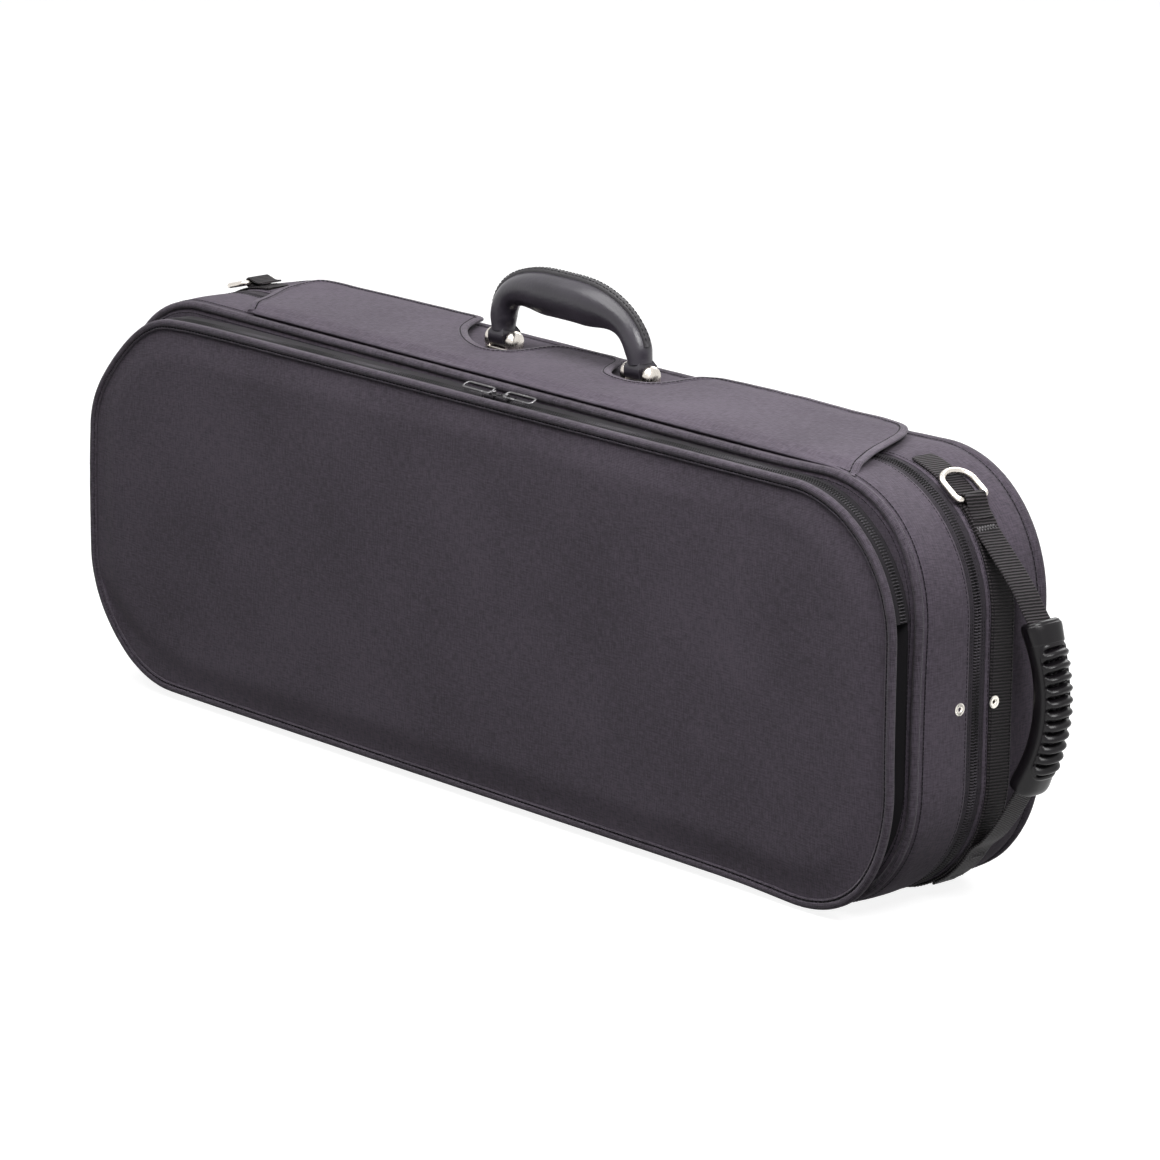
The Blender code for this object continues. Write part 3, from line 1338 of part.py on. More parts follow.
def strap_path(which):
    """Centre line (x, z) of a strap, from its sewn end to inside the grip."""
    out = BAND_OUT + TOUCH + WEBBING / 2
    if which == "upper":
        sewn = [corner_point(angle, out) for angle in (44.0, 39.0, 34.0)]
        free = [GRIP_TOP.xz + Vector(offset) for offset in UPPER_STRAP_FREE]
        end = grip_path(0.02)
        inner = grip_path(0.12)
    else:
        sewn = [corner_point(angle, out) for angle in (-60.0, -51.0, -42.0, -33.0)]
        free = [GRIP_FOOT.xz + Vector(offset) for offset in LOWER_STRAP_FREE]
        end = grip_path(0.98)
        inner = grip_path(0.88)
    return sewn + free + [end.xz, inner.xz]


def ribbon(name, path, half_width, half_thick, beyond_end=0.0):
    """Flat strap across Y along a path (x, z)."""
    path = [Vector(point) for point in path]
    path[-1] = path[-1] + (path[-1] - path[-2]).normalized() * beyond_end
    rings = []
    for k, point in enumerate(path):
        run = (path[min(k + 1, len(path) - 1)] - path[max(k - 1, 0)]).normalized()
        side = Vector((-run.y, run.x)) * half_thick
        a = point + side
        b = point - side
        low = BAND_Y - half_width
        high = BAND_Y + half_width
        rings.append([Vector((a.x, low, a.y)), Vector((a.x, high, a.y)),
                      Vector((b.x, high, b.y)), Vector((b.x, low, b.y))])
    return loft(name, rings)


def build_end_fittings():
    band = webbing("end_web_band", BAND_TIP_ANGLE, BAND_FOOT_ANGLE, 0.011)
    cut(ring_loop(band, RING_ANGLE_RIGHT), stay_hole("rivet hole in band", STAY_BASE_Y))
    ring_loop(webbing("left_web_patch", PATCH_TIP_ANGLE, PATCH_FOOT_ANGLE, 0.009),
              RING_ANGLE_LEFT)
    for label, angle, lean in (("right", RING_ANGLE_RIGHT, 8.0), ("left", RING_ANGLE_LEFT, 0.0)):
        centre = ring_centre(angle)
        pivot(f"d_ring_{label}_swing", (centre.x, BAND_Y, centre.y),
              [d_ring(f"d_ring_{label}", angle, lean)])
    members = [end_grip()]
    for label in ("upper", "lower"):
        name = f"end_strap_{label}"
        mesh = ribbon(name, strap_path(label), WEB_WIDTH / 2, WEBBING / 2)
        members.append(add_part(name, mesh, "webbing", 30))
    pivot("end_handle_swing", (SWING_X, BAND_Y, (GRIP_TOP.z + GRIP_FOOT.z) / 2), members)


def main():
    global parts, cutters
    clear_scene()
    parts = new_collection("violin_case")
    cutters = new_collection("cutters")
    cutters.hide_render = True
    build_base()
    build_lid()
    for label, x in (("left", -HINGE_X), ("right", HINGE_X)):
        hinge_leaf(f"hinge_base_leaf_{label}", 1, x)
        hinge_leaf(f"hinge_lid_leaf_{label}", -1, x)
    build_inside()
    build_lid_fittings()
    build_pocket()
    build_flap()
    build_zip_sliders()
    build_top_handle()
    build_end_fittings()
    pivot("lid_hinge", (0.0, ZIP_Y, HINGE_Z), [])


main()
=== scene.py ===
import math

import bmesh
import bpy
from mathutils import Matrix, Vector, noise


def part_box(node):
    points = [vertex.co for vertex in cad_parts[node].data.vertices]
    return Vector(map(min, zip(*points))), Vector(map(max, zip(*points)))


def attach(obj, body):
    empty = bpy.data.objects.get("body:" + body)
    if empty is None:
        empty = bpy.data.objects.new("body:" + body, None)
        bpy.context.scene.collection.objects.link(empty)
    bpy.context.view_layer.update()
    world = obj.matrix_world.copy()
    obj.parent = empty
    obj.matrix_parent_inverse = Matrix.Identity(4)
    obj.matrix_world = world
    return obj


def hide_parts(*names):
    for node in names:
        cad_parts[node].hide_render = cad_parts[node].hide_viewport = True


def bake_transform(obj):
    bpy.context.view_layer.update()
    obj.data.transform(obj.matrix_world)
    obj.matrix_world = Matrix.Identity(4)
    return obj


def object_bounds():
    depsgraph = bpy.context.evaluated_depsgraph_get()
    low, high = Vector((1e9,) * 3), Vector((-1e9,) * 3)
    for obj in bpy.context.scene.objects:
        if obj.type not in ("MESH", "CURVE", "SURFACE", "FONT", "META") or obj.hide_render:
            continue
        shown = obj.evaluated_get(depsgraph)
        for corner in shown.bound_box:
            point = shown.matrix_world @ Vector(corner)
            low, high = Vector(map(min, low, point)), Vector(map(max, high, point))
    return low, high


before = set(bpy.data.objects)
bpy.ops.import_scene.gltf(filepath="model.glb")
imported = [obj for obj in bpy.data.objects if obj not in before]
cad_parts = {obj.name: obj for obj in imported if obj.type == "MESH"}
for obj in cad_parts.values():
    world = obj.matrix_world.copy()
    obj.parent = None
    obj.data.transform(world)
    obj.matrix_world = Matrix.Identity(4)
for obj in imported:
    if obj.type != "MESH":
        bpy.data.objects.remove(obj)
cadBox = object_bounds()

# the case's own numbers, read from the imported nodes
lidLow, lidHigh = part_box("lid_cover")
caseLength = lidHigh.x - lidLow.x
caseHeight = lidHigh.z - lidLow.z
cornerRadius = 0.090
lidFace = lidLow.y
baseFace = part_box("base_cover")[1].y
zipPlane = -0.0045     # where the lid meets the base
pocketMargin = 0.005   # the pocket is this much smaller than the lid all round
caseShape = dict(length=caseLength, height=caseHeight, radius=cornerRadius, bottom=0.0)
pocketShape = dict(length=caseLength - 2 * pocketMargin, height=caseHeight - 2 * pocketMargin,
                   radius=cornerRadius, bottom=pocketMargin)
pocketLean = -0.0214   # the pocket stands further out towards -X, per metre
panelBack = lidFace - 0.020
bandMiddle = 0.0155    # the webbing's centre line across the case's end
clothMap = "cloth"     # the coordinates that threads and ribs follow, in metres


# outlines and paths
def outwardOf(angle):
    return Vector((math.cos(math.radians(angle)), 0.0, math.sin(math.radians(angle))))


def outlinePoints(shape, inset=0.0, start=-90.0, end=270.0, step=0.010, cornerSteps=24):
    # turning angles: lower right corner -90..0, upper right 0..90, and so on round
    length, height, radius = shape["length"], shape["height"], shape["radius"]
    tiny = 1e-6
    points = []
    for corner in range(8):
        low = -90.0 + 90.0 * corner
        first, last = max(low, start), min(low + 90.0, end)
        if last - first < tiny:
            continue
        side = 1 if corner % 4 in (0, 1) else -1
        level = shape["bottom"] + (radius if corner % 4 in (0, 3) else height - radius)
        count = max(1, round(cornerSteps * (last - first) / 90.0))
        for k in range(count + 1):
            angle = first + (last - first) * k / count
            a = math.radians(angle)
            points.append((side * (length / 2 - radius) + (radius - inset) * math.cos(a),
                           level + (radius - inset) * math.sin(a), angle))
        wholeCorner = abs(last - low - 90.0) < tiny
        if wholeCorner and (end > last + tiny or end - start > 359.9):
            run = (height if corner % 2 == 0 else length) - 2 * radius
            parts = max(1, round(run / step))
            x0, z0, angle = points[-1]
            dx, dz = -math.sin(math.radians(angle)), math.cos(math.radians(angle))
            points += [(x0 + dx * run * k / parts, z0 + dz * run * k / parts, angle)
                       for k in range(1, parts)]
    return points


def outlineWays(shape, inset=0.0, **span):
    # the outline again, with its outward directions in place of the angles
    return [(x, z, outwardOf(angle)) for x, z, angle in outlinePoints(shape, inset, **span)]


def towardsMiddle(shape, inset, count, edgeBias=1.6, **grid):
    # rows that shrink from the outline to the line along the middle
    reach = shape["length"] / 2 - shape["height"] / 2
    level = shape["bottom"] + shape["height"] / 2
    outline = outlinePoints(shape, inset, **grid)
    rows = []
    for k in range(count + 1):
        t = (k / count) ** edgeBias
        rows.append([(x + (max(-reach, min(reach, x)) - x) * t, z + (level - z) * t, t)
                     for x, z, angle in outline])
    return rows


def turns(count, shift=0.0):
    return [2 * math.pi * (k + shift) / count for k in range(count)]


def arc(x, y, radius, degrees, stretch=1.0):
    # points round a centre, for flat outlines
    return [(x + radius * math.cos(math.radians(a)), y + radius * stretch * math.sin(math.radians(a)))
            for a in degrees]


def boxy(value, power):
    # powers under 1 turn a circle's sine and cosine into a rounded square's
    return math.copysign(abs(value) ** power, value)


def softStep(value, low, high):
    t = max(0.0, min(1.0, (value - low) / (high - low)))
    return t * t * (3 - 2 * t)


def softNoise(point, size, seed=0.0):
    return noise.noise(Vector((point.x / size + seed, point.y / size, point.z / size - seed)))


def pathLength(points):
    return sum((b - a).length for a, b in zip(points, points[1:]))


def pacedSpots(points, count, steps, shift=0.0):
    # for each step, the segment it falls in and the share of it, count steps to the whole
    lengths = [0.0]
    for a, b in zip(points, points[1:]):
        lengths.append(lengths[-1] + (b - a).length)
    spots, k = [], 0
    for step in range(steps):
        goal = lengths[-1] * (step + shift) / count
        while k < len(points) - 2 and lengths[k + 1] < goal:
            k += 1
        spots.append((k, (goal - lengths[k]) / max(lengths[k + 1] - lengths[k], 1e-9)))
    return spots


def evenPath(points, count, closed=False):
    points = list(points) + ([points[0]] if closed else [])
    return [points[k].lerp(points[k + 1], part)
            for k, part in pacedSpots(points, count, count if closed else count + 1)]


def smoothPath(points, steps):
    points = [Vector(p) for p in points]
    padded = [2 * points[0] - points[1]] + points + [2 * points[-1] - points[-2]]
    result = []
    for k in range(1, len(padded) - 2):
        a, b, c, d = padded[k - 1:k + 3]
        for step in range(steps):
            t = step / steps
            result.append(0.5 * ((2 * b) + (c - a) * t + (2 * a - 5 * b + 4 * c - d) * t ** 2
                                 + (3 * b - 3 * c + d - a) * t ** 3))
    return result + [points[-1]]


def runAt(points, k, reach=1, closed=False):
    # direction along the points near one of them
    if closed:
        return (points[(k + reach) % len(points)] - points[k - reach]).normalized()
    return (points[min(k + reach, len(points) - 1)] - points[max(k - reach, 0)]).normalized()


def lengthLine(shape, inset, start, end, pitch, perPitch, y, lean=0.0):
    # points at even spacing along part of the outline, with their outward directions
    raw = outlineWays(shape, inset, start=start, end=end, step=0.004, cornerSteps=90)
    points = [Vector((x, y - lean * x, z)) for x, z, out in raw]
    count = max(4, round(pathLength(points) / pitch)) * perPitch
    line, outs = [], []
    for k, part in pacedSpots(points, count, count + 1):
        line.append(points[k].lerp(points[k + 1], part))
        outs.append(raw[k][2].lerp(raw[k + 1][2], part).normalized())
    return line, outs


# meshes
def mendMesh(mesh, merge=0.0, dissolve=False, joinWith=None, fillHoles=False):
    bm = bmesh.new()
    bm.from_mesh(mesh)
    if joinWith:
        bm.from_mesh(joinWith)
    if merge:
        bmesh.ops.remove_doubles(bm, verts=bm.verts, dist=merge)
    if dissolve:
        bmesh.ops.dissolve_degenerate(bm, dist=merge, edges=bm.edges)
    if fillHoles:
        bmesh.ops.holes_fill(bm, edges=[e for e in bm.edges if e.is_boundary], sides=0)
    bmesh.ops.recalc_face_normals(bm, faces=bm.faces)
    bm.to_mesh(mesh)
    bm.free()
    return mesh


mergeGap = 0.00002   # points closer than this are the same


def mergeClose(mesh):
    mendMesh(mesh, mergeGap, dissolve=True).shade_smooth()


def gridMesh(name, rows, around=True, across=False, caps=False, sharp=50):
    # rows of points; around joins each row's ends, across joins the first and last rows
    count = len(rows[0])
    middle = rows[len(rows) // 2]
    alongs, acrosses = [0.0], [0.0]
    for k in range(count):
        alongs.append(alongs[-1] + (middle[(k + 1) % count] - middle[k]).length)
    for k, row in enumerate(rows):
        acrosses.append(acrosses[-1] + (rows[(k + 1) % len(rows)][0] - row[0]).length)
    faces, uvs = [], []
    for r in range(len(rows) if across else len(rows) - 1):
        r2 = (r + 1) % len(rows)
        for k in range(count if around else count - 1):
            k2 = (k + 1) % count
            faces.append((r * count + k, r * count + k2, r2 * count + k2, r2 * count + k))
            uvs += [(alongs[k], acrosses[r]), (alongs[k + 1], acrosses[r]),
                    (alongs[k + 1], acrosses[r + 1]), (alongs[k], acrosses[r + 1])]
    if caps:
        for r in (0, len(rows) - 1):
            faces.append(tuple(r * count + k for k in range(count)))
            uvs += [(p.x, p.z) for p in rows[r]]
    mesh = bpy.data.meshes.new(name)
    mesh.from_pydata([tuple(p) for row in rows for p in row], [], faces)
    mesh.uv_layers.new(name=clothMap).data.foreach_set("uv", [c for uv in uvs for c in uv])
    mendMesh(mesh).shade_smooth()
    mesh.set_sharp_from_angle(angle=math.radians(sharp))
    return mesh


def planarUv(mesh, test=lambda c: True, first=0, second=2):
    # faces that pass the test take their cloth coordinates straight from the point
    layer = mesh.uv_layers[clothMap]
    for face in mesh.polygons:
        if test(face.center):
            for index in face.loop_indices:
                co = mesh.vertices[mesh.loops[index].vertex_index].co
                layer.data[index].uv = (co[first], co[second])


def addPiece(name, mesh, material, body=None, nodes=()):
    obj = bpy.data.objects.new(name, mesh)
    bpy.context.scene.collection.objects.link(obj)
    obj.data.materials.append(material)
    if nodes:
        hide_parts(*nodes)
    if body:
        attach(obj, body)
    return obj


def sweptPiece(name, rows, material, body=None, nodes=(), slot=None, **grid):
    # a piece straight from its rows, closed at both ends unless it joins up
    if "across" not in grid:
        grid["caps"] = True
    return addPiece(name, gridMesh(name, rows, **grid), material, body, nodes)


def useModifiers(obj):
    # bakes the modifiers into the mesh
    bpy.context.view_layer.update()
    baked = bpy.data.meshes.new_from_object(obj.evaluated_get(
        bpy.context.evaluated_depsgraph_get()))
    obj.modifiers.clear()
    obj.data = baked
    return obj


def thicken(obj, thickness):
    solid = obj.modifiers.new("thickness", "SOLIDIFY")
    solid.thickness = thickness
    solid.offset = -1.0
    return useModifiers(obj)


def pushed(obj, places, nearY, farY):
    # moves part of a finished mesh: each place is (x, z), (dx, dz) and its reach
    for vertex in obj.data.vertices:
        share = softStep(vertex.co.y, nearY, farY) if nearY < farY else (
            1 - softStep(vertex.co.y, farY, nearY))
        moved = vertex.co.copy()
        for (x, z), (dx, dz), reach in places:
            away = ((vertex.co.x - x) ** 2 + (vertex.co.z - z) ** 2) / reach ** 2
            moved += Vector((dx, 0.0, dz)) * share * math.exp(-away)
        vertex.co = moved
    return obj


def tubeAlong(name, line, radius, material, body, nodes=(), sides=14, closed=True,
              ripple=0.0, rippleSize=0.03):
    # round tube; out is judged from the run alone, so it never twists
    rows = []
    for k, point in enumerate(line):
        run = runAt(line, k, closed=closed)
        side = Vector((0, 1, 0)) if abs(run.y) < 0.8 else Vector((0, 0, 1))
        out = run.cross(side).normalized()
        side = out.cross(run).normalized()
        size = radius * (1.0 + ripple * softNoise(point, rippleSize, 3.1))
        rows.append([point + out * size * math.cos(a) + side * size * math.sin(a)
                     for a in turns(sides)])
    mesh = gridMesh(name, rows, across=closed, caps=not closed)
    return addPiece(name, mesh, material, body, nodes)


def stitchRow(name, line, normals, material, body, pitch=0.0030, length=0.0021,
              thick=0.00028, closed=False, sink=0.0):
    # one mesh of short rounded threads lying along a line
    points, faces = [], []
    source = list(line) + ([line[0]] if closed else [])
    normals = list(normals) + ([normals[0]] if closed else [])
    count = max(2, round(pathLength(source) / pitch))
    for k, part in pacedSpots(source, count, count - (0 if closed else 1), 0.5):
        centre = source[k].lerp(source[k + 1], part)
        run = (source[k + 1] - source[k]).normalized()
        out = normals[k].lerp(normals[k + 1], part).normalized()
        side = run.cross(out).normalized()
        first = len(points)
        for along, size in ((-0.5, 0.35), (-0.28, 1.0), (0.28, 1.0), (0.5, 0.35)):
            for a, b in ((1, 0), (0, 1), (-0.6, 0), (0, -1)):
                points.append(centre + run * along * length + out * (a * thick * size - sink)
                              + side * b * thick * 1.2 * size)
        for r in range(3):
            for j in range(4):
                j2 = (j + 1) % 4
                faces.append((first + r * 4 + j, first + r * 4 + j2,
                              first + r * 4 + 4 + j2, first + r * 4 + 4 + j))
        faces.append(tuple(first + j for j in range(4)))
        faces.append(tuple(first + 12 + j for j in (3, 2, 1, 0)))
    mesh = bpy.data.meshes.new(name)
    mesh.from_pydata([tuple(p) for p in points], [], faces)
    mesh.shade_smooth()
    return addPiece(name, mesh, material, body, ())


# finishes
socketOf = dict(sheen="Sheen Weight", sheenRough="Sheen Roughness", coat="Coat Weight",
                coatRough="Coat Roughness", gloss="Specular IOR Level")


def newFinish(name, roughness=0.8, metallic=0.0, **settings):
    material = bpy.data.materials.new(name)
    material.use_nodes = True
    tree = material.node_tree
    shader = tree.nodes["Principled BSDF"]
    shader.inputs["Roughness"].default_value = roughness
    shader.inputs["Metallic"].default_value = metallic
    for setting, value in settings.items():
        shader.inputs[socketOf[setting]].default_value = value
    return material, tree, shader


def coordsOf(tree, fromCloth=False):
    if not fromCloth:
        return tree.nodes.new("ShaderNodeTexCoord").outputs["Object"]
    node = tree.nodes.new("ShaderNodeUVMap")
    node.uv_map = clothMap
    return node.outputs["UV"]


def mapped(tree, coords, setting, values):
    node = tree.nodes.new("ShaderNodeMapping")
    node.inputs[setting].default_value = values
    tree.links.new(coords, node.inputs["Vector"])
    return node.outputs["Vector"]


def noiseNode(tree, coords, scale, detail=3.0, stretch=None):
    node = tree.nodes.new("ShaderNodeTexNoise")
    node.inputs["Scale"].default_value = scale
    node.inputs["Detail"].default_value = detail
    node.inputs["Roughness"].default_value = 0.55
    if stretch:
        coords = mapped(tree, coords, "Scale", stretch)
    tree.links.new(coords, node.inputs["Vector"])
    return node.outputs["Fac"]


def bandsNode(tree, coords, pitch, direction, distortion):
    # one band every pitch; at scale 1 they come every pi / 10
    node = tree.nodes.new("ShaderNodeTexWave")
    node.wave_type = "BANDS"
    node.bands_direction = direction
    node.wave_profile = "SIN"
    node.inputs["Scale"].default_value = 2 * math.pi / pitch / 20.0
    node.inputs["Distortion"].default_value = distortion
    node.inputs["Detail"].default_value = 2.0
    node.inputs["Detail Scale"].default_value = 1.5
    tree.links.new(coords, node.inputs["Vector"])
    return node.outputs["Fac"]


def mathNode(tree, operation, a, b):
    node = tree.nodes.new("ShaderNodeMath")
    node.operation = operation
    for socket, value in zip(node.inputs, (a, b)):
        if isinstance(value, (int, float)):
            socket.default_value = value
        else:
            tree.links.new(value, socket)
    return node.outputs["Value"]


def weighted(tree, *parts):
    # each part's value times its weight, added up
    total = None
    for value, weight in parts:
        term = mathNode(tree, "MULTIPLY", value, weight)
        total = mathNode(tree, "ADD", total, term) if total else term
    return total


def shade(colour, factor):
    return tuple(c * factor for c in colour)


def toneRamp(tree, socket, factor, colour, *stops):
    # each stop is its place and how many times the colour
    node = tree.nodes.new("ShaderNodeValToRGB")
    ramp = node.color_ramp
    while len(ramp.elements) < len(stops):
        ramp.elements.new(0.5)
    for element, (place, strength) in zip(ramp.elements, stops):
        element.position = place
        element.color = (*shade(colour, strength), 1.0)
    tree.links.new(factor, node.inputs["Fac"])
    tree.links.new(node.outputs["Color"], socket)


def bumpNode(tree, height, shader, strength, distance):
    node = tree.nodes.new("ShaderNodeBump")
    node.inputs["Strength"].default_value = strength
    node.inputs["Distance"].default_value = distance
    tree.links.new(height, node.inputs["Height"])
    tree.links.new(node.outputs["Normal"], shader.inputs["Normal"])


def wovenCanvas(name, colour, thread=0.00095, strength=0.5, contrast=0.15, roughness=0.88,
                sheen=0.08):
    # plain weave: threads both ways, uneven yarns and a soft mottle
    material, tree, shader = newFinish(name, roughness, sheen=sheen, sheenRough=0.5, gloss=0.12)
    coords = coordsOf(tree, fromCloth=True)
    threads = mathNode(tree, "MULTIPLY", bandsNode(tree, coords, thread, "X", 0.6),
                       bandsNode(tree, coords, thread, "Y", 0.6))
    yarns = weighted(tree, (noiseNode(tree, coords, 1.0, 3.0, (980.0, 150.0, 400.0)), 0.5),
                     (noiseNode(tree, coords, 1.0, 3.0, (150.0, 980.0, 400.0)), 0.5))
    mottle = noiseNode(tree, coords, 9.0, 4.0)
    toneRamp(tree, shader.inputs["Base Color"],
             weighted(tree, (yarns, 0.75), (mottle, 0.25), (threads, 0.10)), colour,
             (0.41, 1 - contrast * 2), (0.505, 1.0), (0.60, 1 + contrast * 2.4))
    bumpNode(tree, weighted(tree, (threads, 0.6), (yarns, 0.6)), shader, strength, 0.00035)
    return material


def ribbedWebbing(name, colour, pitch=0.0021, slant=0.10):
    # cross ribs with a slight slant; the colour is painted lighter on each rib's crest and darker in
    # the gaps, as highlight and shade
    material, tree, shader = newFinish(name, 0.6, sheen=0.02, gloss=0.15)
    coords = coordsOf(tree, fromCloth=True)
    slanted = mapped(tree, coords, "Rotation", (0.0, 0.0, slant))
    fibre = noiseNode(tree, coords, 1.0, 3.0, (500.0, 2600.0, 600.0))
    mix = weighted(tree, (bandsNode(tree, slanted, pitch, "Y", 0.8), 0.8), (fibre, 0.4))
    # painted light and shade over the woven rib pattern: crests 4.5 times lighter as highlights, gaps
    # 0.15 times as shade
    toneRamp(tree, shader.inputs["Base Color"], mix, colour, (0.35, 0.15), (0.66, 0.9), (0.86, 4.5))
    bumpNode(tree, mix, shader, 0.9, 0.0006)
    return material


def twillTape(name, colour, pitch=0.0008):
    material, tree, shader = newFinish(name, 0.85, sheen=0.05, gloss=0.15)
    coords = coordsOf(tree, fromCloth=True)
    slanted = mapped(tree, coords, "Rotation", (0.0, 0.0, 0.6))
    mix = weighted(tree, (bandsNode(tree, slanted, pitch, "X", 1.0), 0.5),
                   (noiseNode(tree, coords, 1400.0, 3.0), 0.5))
    toneRamp(tree, shader.inputs["Base Color"], mix, colour, (0.25, 0.55), (0.75, 1.35))
    bumpNode(tree, mix, shader, 0.4, 0.0003)
    return material


def grainedLeather(name, colour, grain=420.0, roughness=0.42, strength=0.25):
    material, tree, shader = newFinish(name, roughness, coat=0.12, coatRough=0.3)
    coords = coordsOf(tree)
    cells = tree.nodes.new("ShaderNodeTexVoronoi")
    cells.inputs["Scale"].default_value = grain
    tree.links.new(coords, cells.inputs["Vector"])
    pores = noiseNode(tree, coords, grain * 1.7, 4.0)
    broad = noiseNode(tree, coords, 28.0, 3.0)
    toneRamp(tree, shader.inputs["Base Color"], broad, colour, (0.3, 0.8), (0.7, 1.25))
    toneRamp(tree, shader.inputs["Roughness"], broad, (1, 1, 1),
             (0.2, roughness - 0.07), (0.8, roughness + 0.08))
    height = weighted(tree, (cells.outputs["Distance"], 0.7), (pores, 0.3))
    bumpNode(tree, height, shader, strength, 0.0004)
    return material


def polishedNickel(name, colour, roughness):
    material, tree, shader = newFinish(name, roughness, 1.0)
    coords = coordsOf(tree)
    scuffs = noiseNode(tree, coords, 1.0, 4.0, (60.0, 900.0, 300.0))
    stain = noiseNode(tree, coords, 180.0, 3.0)
    toneRamp(tree, shader.inputs["Roughness"], scuffs, (roughness,) * 3, (0.3, 0.7), (0.8, 1.7))
    toneRamp(tree, shader.inputs["Base Color"], stain, colour, (0.25, 0.86), (0.6, 1.0))
    bumpNode(tree, scuffs, shader, 0.05, 0.0001)
    return material


def shortPlush(name, colour):
    material, tree, shader = newFinish(name, 0.95, sheen=0.6, sheenRough=0.4)
    coords = coordsOf(tree)
    nap = noiseNode(tree, coords, 900.0, 4.0)
    mix = weighted(tree, (nap, 0.6), (noiseNode(tree, coords, 30.0, 3.0), 0.4))
    toneRamp(tree, shader.inputs["Base Color"], mix, colour, (0.3, 0.55), (0.7, 1.4))
    bumpNode(tree, nap, shader, 0.5, 0.0006)
    return material


def enamelledMetal(name, colour, roughness=0.3, metallic=0.6):
    material, tree, shader = newFinish(name, roughness, metallic)
    wear = noiseNode(tree, coordsOf(tree), 260.0, 4.0)
    toneRamp(tree, shader.inputs["Base Color"], wear, colour, (0.55, 1.0), (0.8, 3.0))
    toneRamp(tree, shader.inputs["Roughness"], wear, (roughness,) * 3, (0.3, 0.8), (0.7, 1.5))
    bumpNode(tree, wear, shader, 0.08, 0.0001)
    return material


def mouldedRubber(name, colour, roughness=0.45, gloss=0.2):
    material, tree, shader = newFinish(name, roughness, gloss=gloss)
    coords = coordsOf(tree)
    toneRamp(tree, shader.inputs["Base Color"], noiseNode(tree, coords, 60.0, 3.0), colour,
             (0.3, 0.85), (0.7, 1.2))
    bumpNode(tree, noiseNode(tree, coords, 1500.0, 3.0), shader, 0.15, 0.0002)
    return material


def pressedBoard(name, colour):
    material, tree, shader = newFinish(name, 0.85)
    fibres = noiseNode(tree, coordsOf(tree), 320.0, 6.0)
    toneRamp(tree, shader.inputs["Base Color"], fibres, colour, (0.3, 0.7), (0.7, 1.3))
    bumpNode(tree, fibres, shader, 0.3, 0.0004)
    return material


charcoal = (0.078, 0.065, 0.083)
rolled = dict(thread=0.0011, strength=0.6, contrast=0.22, roughness=0.8, sheen=0.15)
canvas = wovenCanvas("charcoalCanvas", charcoal)
# painted light: the flap's canvas is the same cloth painted 1.05 times lighter, as the light falling
# on the top
canvasLitTop = wovenCanvas("charcoalCanvasFlapPaintedLight", shade(charcoal, 1.05))
bindingCloth = wovenCanvas("bindingGrosgrain", shade(charcoal, 0.80), **rolled)
# painted light: the flap's binding is the same grosgrain painted 1.3 times lighter than the side
# binding, as light on the top
bindingLitTop = wovenCanvas("bindingFlapPaintedLight", shade(charcoal, 1.04), **rolled)
webbing = ribbedWebbing("ribbedWebbing", (0.0112, 0.0096, 0.0106))
elastic = ribbedWebbing("elasticRibbon", (0.022, 0.021, 0.023), pitch=0.0011, slant=0.0)
coilRibs = ribbedWebbing("coilRibs", (0.0135, 0.0120, 0.0140), pitch=0.0020, slant=0.0)
pocketRibs = ribbedWebbing("pocketCoilRibs", (0.014, 0.013, 0.0145), pitch=0.0021, slant=0.0)
zipCloth = twillTape("zipTapeTwill", (0.038, 0.033, 0.040))
# painted shade: the pocket's zip tapes are darkened to stand for the deep shade between the lid's
# piping and the pocket
pocketTapeShaded = twillTape("pocketTapePaintedShade", (0.019, 0.017, 0.020))
# painted shade: the gusset is coloured near black to stand for the shade in the gap between the
# pocket and the lid
gussetShadeCloth = twillTape("gussetPaintedShade", (0.012, 0.011, 0.013))
threadBlack = mouldedRubber("stitchThread", (0.008, 0.007, 0.009), 0.6, 0.1)
threadGrey = mouldedRubber("stitchThreadGrey", (0.13, 0.125, 0.13))
gripRubber = mouldedRubber("gripRubber", (0.0050, 0.0040, 0.0052), 0.30, 0.28)
leather = grainedLeather("handleLeather", (0.031, 0.027, 0.036), roughness=0.32)
weltLeather = grainedLeather("weltLeather", (0.018, 0.016, 0.019), 900.0, 0.6, 0.6)
nickel = polishedNickel("nickelPlate", (0.78, 0.73, 0.67), 0.22)
eyeletNickel = polishedNickel("eyeletNickel", (0.95, 0.91, 0.84), 0.34)
blackMetal = enamelledMetal("blackEnamel", (0.018, 0.018, 0.019))
gunmetal = enamelledMetal("gunmetalWire", (0.16, 0.155, 0.16), roughness=0.20, metallic=0.95)
plush = shortPlush("liningPlush", (0.040, 0.046, 0.085))
foamPlush = shortPlush("wellPlush", (0.050, 0.055, 0.095))
fastenerTape = shortPlush("fastenerNap", (0.030, 0.029, 0.031))
board = pressedBoard("pressedBoard", (0.055, 0.050, 0.045))
print("finishes ready")


# camera, light and floor
cameraSettings = dict(place=(2.6621, -2.3685, 1.0959), back=(0.7181, -0.6455, 0.2603),
                      right=(0.6665, 0.7454, 0.0098), lens=170.66)


def placeCamera(settings):
    data = bpy.data.cameras.new("view")
    data.lens = settings["lens"]
    data.sensor_width = 36.0
    data.clip_end = 60.0
    back = Vector(settings["back"]).normalized()
    right = Vector(settings["right"])
    right = (right - back * right.dot(back)).normalized()
    up = back.cross(right)
    camera = bpy.data.objects.new("view", data)
    bpy.context.scene.collection.objects.link(camera)
    turn = Matrix((right, up, back)).transposed().to_4x4()
    camera.matrix_world = Matrix.Translation(Vector(settings["place"])) @ turn
    bpy.context.scene.camera = camera


